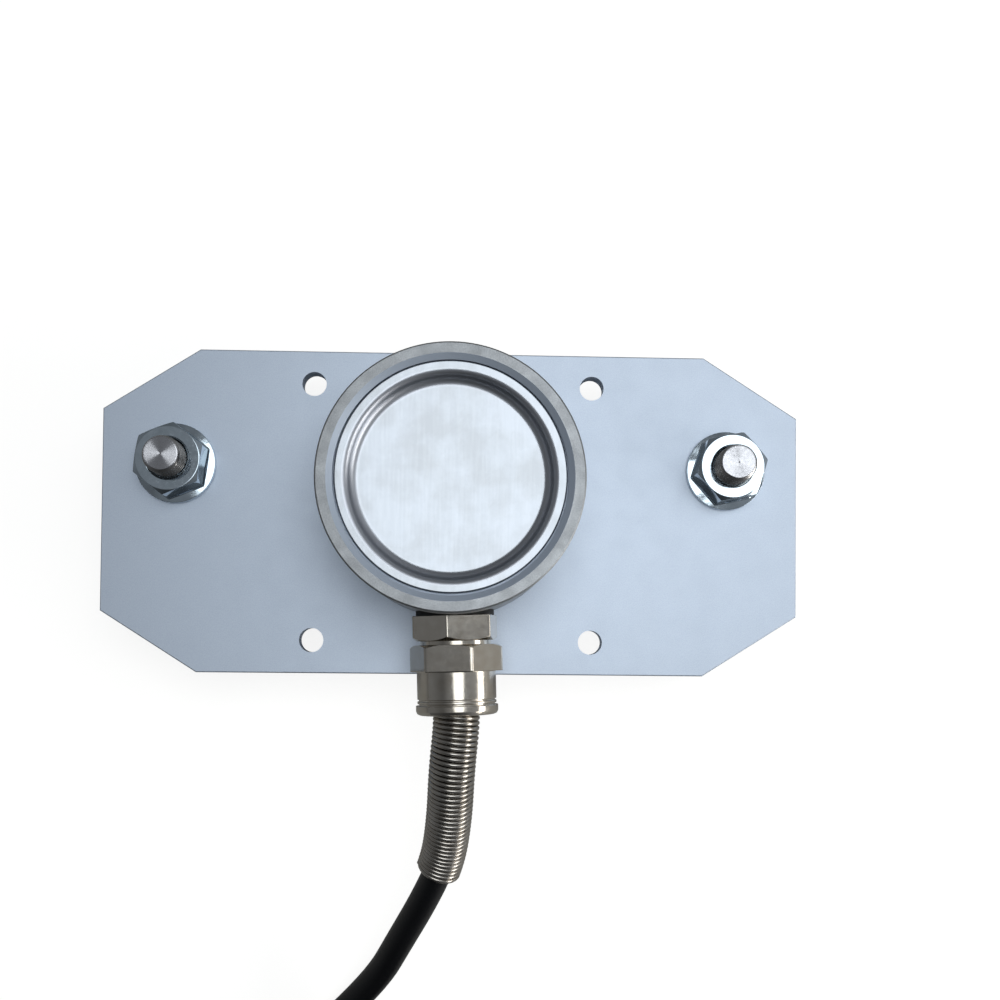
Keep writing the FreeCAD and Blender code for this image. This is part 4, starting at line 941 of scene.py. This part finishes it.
# %% Shape of the thread
def thread_reach(angle, height):
    """The thread's radius in mm: a flat crest, a flat root and flanks between them."""
    share = (height / THREAD_PITCH - angle / (2 * math.pi)) % 1.0
    rise = min(1.0, max(0.0, (abs(share - 0.5) - ROOT_SHARE) / FLANK_SHARE))
    return min(ROOT_RADIUS + (CREST_RADIUS - ROOT_RADIUS) * rise, TIP_RADIUS + (TIP_TOP - height))


def thread_column(angle):
    rows = round((TIP_TOP - THREAD_START) / THREAD_PITCH * ROWS_PER_PITCH)
    skin = [(SKIN_INNER_RADIUS, THREAD_START)]
    for row in range(rows + 1):
        height = THREAD_START + (TIP_TOP - THREAD_START) * row / rows
        skin.append((thread_reach(angle, height), height))
    skin[-1] = (min(skin[-2][0], TIP_RADIUS), TIP_TOP)
    tip = [(radius, TIP_TOP) for radius in TIP_RINGS]
    inside = [(MARK_RADIUS, TIP_TOP - MARK_DEPTH), (MARK_RADIUS, THREAD_START)]
    return [(radius * MM, height * MM) for radius, height in skin + tip + inside]


# %% Axles
BAR_TOP = 38.5
BAR_DRAWN_FROM = 38.0
BAR_SHARE = 0.75
FACE_DEPTH = 0.15


def drawn_in_bar(node, centre):
    """The CAD axle about its own axis, with its upper end lowered and thinned to fit in the skin."""
    bar = frame["nodes"][node].data.copy()
    bar.materials.clear()
    for vertex in bar.vertices:
        vertex.co -= centre
        if vertex.co.z > BAR_DRAWN_FROM * MM:
            vertex.co.x *= BAR_SHARE
            vertex.co.y *= BAR_SHARE
            vertex.co.z = BAR_TOP * MM
    return bar


for side, x in (("left", -AXLE_X), ("right", AXLE_X)):
    node = side + "_axle"
    centre = Vector((x * MM, AXLE_Y * MM, 0.0))
    new_piece(node + "_bar", drawn_in_bar(node, centre), "turned_steel", [node], origin=centre)
    thread_mesh = column_mesh(node + "_thread", even_angles(72), thread_column)
    thread = new_piece(node + "_thread", thread_mesh, "turned_steel", [node], origin=centre)
    thread.data.materials.append(finishes["turned_face"])
    for polygon in thread.data.polygons:
        polygon.material_index = int(polygon.center.z > (TIP_TOP - FACE_DEPTH) * MM)

# %% [markdown]
# ## A bar along a line
#
# The spring's wire is a round bar that follows a long line of points. A curve with a bevel could do this as
# well. A mesh is made instead, because the ring of each point is turned as little as possible from the one
# before it, and so the wire never twists where the helix passes a bend of the cable.


# %% Tube along a line
def tube_along(name, line, radius, sides):
    """A round bar as a mesh that follows a line of points with directions, with closed ends."""
    build = bmesh.new()
    side = Vector((0, 0, 1)).cross(line[0][1])
    side = (side if side.length > 0.1 else Vector((1, 0, 0)).cross(line[0][1])).normalized()
    rings = []
    for place, direction in line:
        side = (side - direction * side.dot(direction)).normalized()
        up = direction.cross(side)
        ring = []
        for angle in even_angles(sides):
            ring.append(build.verts.new(place + radius * (math.cos(angle) * side + math.sin(angle) * up)))
        rings.append(ring)
    for before, after in zip(rings, rings[1:]):
        for index in range(sides):
            following = (index + 1) % sides
            build.faces.new((before[index], before[following], after[following], after[index]))
    build.faces.new(reversed(rings[0]))
    build.faces.new(rings[-1])
    mesh = bpy.data.meshes.new(name)
    build.to_mesh(mesh)
    build.free()
    return mesh


# %% [markdown]
# ## The strain relief spring
#
# Forty close turns of round wire keep the cable from kinking at the gland. An array of rings would be
# quick, and from far away nobody would see the difference, but the ends of a real spring show that it is
# one wire. Each point of the helix stands off the cable's line at right angles, so the turns open a little
# on the outside of a bend, as they do on the real one.

# %% Spring
SPRING_START = 4.0
SPRING_TURNS = 40
SPRING_PITCH = 1.25
SPRING_RADIUS = 5.425 * MM
WIRE_RADIUS = 0.625 * MM
WIRE_SIDES = 10
STEPS_PER_COIL = 28


def helix_line():
    """The middle of the spring's wire: points round the cable, each with the wire's direction."""
    spacing = SPRING_PITCH / STEPS_PER_COIL * MM
    route = line_along(ROUTE, spacing)
    first = round(SPRING_START * MM / spacing)
    count = SPRING_TURNS * STEPS_PER_COIL
    places = []
    for index, (place, direction) in enumerate(route[first:first + count + 1]):
        side = direction.cross(Vector((0, 0, 1))).normalized()
        up = side.cross(direction)
        angle = 2 * math.pi * index / STEPS_PER_COIL
        places.append(place + SPRING_RADIUS * (math.cos(angle) * side + math.sin(angle) * up))
    steps = [(after - before).normalized() for before, after in zip(places, places[1:])]
    return list(zip(places, steps + steps[-1:]))


spring_mesh = tube_along("spring_helix", helix_line(), WIRE_RADIUS, WIRE_SIDES)
spring = new_piece("spring_helix", spring_mesh, "spring_steel", ["strain_relief_spring"])

# %% [markdown]
# ## The surroundings
#
# Metal shows what stands around it, so the surroundings matter as much as the lamps. A photographed room
# could be wrapped round the scene. A few math nodes are enough and easier to tune. They make a room that is
# dim in the middle, brighter to the left and much brighter to the right, dimmer towards the cable, with a
# soft glow straight overhead. The camera itself sees a white backdrop instead, through a mix by Is Camera
# Ray, so that side views have no dark horizon.


# %% Brightness of the surroundings
def room_level(tree):
    """How bright the room is in each direction, from math nodes on the direction's own coordinates."""
    place = tree.nodes.new("ShaderNodeTexCoord")
    parts = tree.nodes.new("ShaderNodeSeparateXYZ")
    tree.links.new(place.outputs["Generated"], parts.inputs["Vector"])
    level = math_node(tree, "MULTIPLY_ADD", parts.outputs["X"], 0.185, 0.105)
    level = math_node(tree, "MULTIPLY_ADD", parts.outputs["X"], level, 0.10)
    level = math_node(tree, "MULTIPLY_ADD", parts.outputs["Y"], 0.06, level)
    overhead = tree.nodes.new("ShaderNodeMapRange")
    overhead.interpolation_type = "SMOOTHSTEP"
    overhead.inputs["From Min"].default_value = 0.75
    overhead.inputs["From Max"].default_value = 0.96
    overhead.inputs["To Max"].default_value = 0.12
    tree.links.new(parts.outputs["Z"], overhead.inputs["Value"])
    return math_node(tree, "ADD", level, overhead.outputs["Result"])


# %% World
world = bpy.data.worlds.new("surroundings")
world.use_nodes = True
bpy.context.scene.world = world
world_tree = world.node_tree
room = world_tree.nodes["Background"]
room.inputs["Color"].default_value = (0.96, 1.0, 1.05, 1.0)
world_tree.links.new(room_level(world_tree), room.inputs["Strength"])
backdrop = world_tree.nodes.new("ShaderNodeBackground")
backdrop.inputs["Color"].default_value = (1.0, 1.0, 1.0, 1.0)
world_rays = world_tree.nodes.new("ShaderNodeLightPath")
chosen = world_tree.nodes.new("ShaderNodeMixShader")
world_tree.links.new(world_rays.outputs["Is Camera Ray"], chosen.inputs["Fac"])
world_tree.links.new(room.outputs["Background"], chosen.inputs[1])
world_tree.links.new(backdrop.outputs["Background"], chosen.inputs[2])
world_tree.links.new(chosen.outputs["Shader"], world_tree.nodes["World Output"].inputs["Surface"])
print("world nodes:", len(world_tree.nodes))

# %% [markdown]
# ## The lamps
#
# The reflections in the photograph tell where its lights were. A round one stands nearly overhead and
# shows in the cover, a dimmer panel above the right half lights that side of the plate, and a low one at
# the right makes the bright line on the gland and the glint on the dish's wall. Area lamps are used,
# because only a light with a size gives such soft edges.


# %% Lamps
def add_lamp(name, place, target, width, height, power, colour, shape="RECTANGLE"):
    """An area lamp that looks from its place at a target, with its sizes in metres."""
    data = bpy.data.lights.new(name, "AREA")
    data.shape = shape
    data.size = width
    data.size_y = height
    data.energy = power
    data.color = colour
    lamp = bpy.data.objects.new(name, data)
    bpy.context.scene.collection.objects.link(lamp)
    lamp.location = place
    lamp.rotation_euler = (Vector(target) - Vector(place)).to_track_quat("-Z", "Y").to_euler()
    print(name, "of", power, "W")


COOL = (0.95, 0.985, 1.0)
WARM = (1.0, 0.98, 0.94)
add_lamp("window_above", (0.09, 0.11, 0.95), (0.09, 0.11, 0.0), 0.59, 0.59, 1.95, COOL, "DISK")
add_lamp("window_above_right", (0.58, 0.32, 0.97), (0.58, 0.32, 0.0), 0.50, 0.50, 0.75, COOL)
add_lamp("window_right", (0.84, -0.28, 0.30), (0.0, 0.0, 0.03), 0.72, 0.30, 3.0, WARM)

# %% [markdown]
# ## The floor
#
# The sensor lies on plain pale paper that the camera sees as white. Much more light would make the paper
# white too, but it would wash out the metal. So the paper stays pale grey for the object's sake, and it
# glows only for the camera's own rays. It keeps the soft shadow under the plate and the cable.

# %% Floor
FLOOR_REACH = 3.0
FLOOR_GLOW = 0.80

floor_corners = [(x * FLOOR_REACH, y * FLOOR_REACH, 0) for x, y in ((-1, -1), (1, -1), (1, 1), (-1, 1))]
floor_mesh = bpy.data.meshes.new("floor")
floor_mesh.from_pydata(floor_corners, [], [(0, 1, 2, 3)])
floor = bpy.data.objects.new("floor", floor_mesh)
bpy.context.scene.collection.objects.link(floor)

# %% Paper
paper = Finish("floor_paper", (0.52, 0.51, 0.49, 1.0), 0.0, 0.9)
paper_rays = paper.node("ShaderNodeLightPath")
paper.shader.inputs["Emission Color"].default_value = (1.0, 1.0, 1.0, 1.0)
glow = math_node(paper.tree, "MULTIPLY", paper_rays.outputs["Is Camera Ray"], FLOOR_GLOW)
paper.feed(glow, "Emission Strength")
floor_mesh.materials.append(paper.material)
print("floor reaches", FLOOR_REACH, "m to each side")
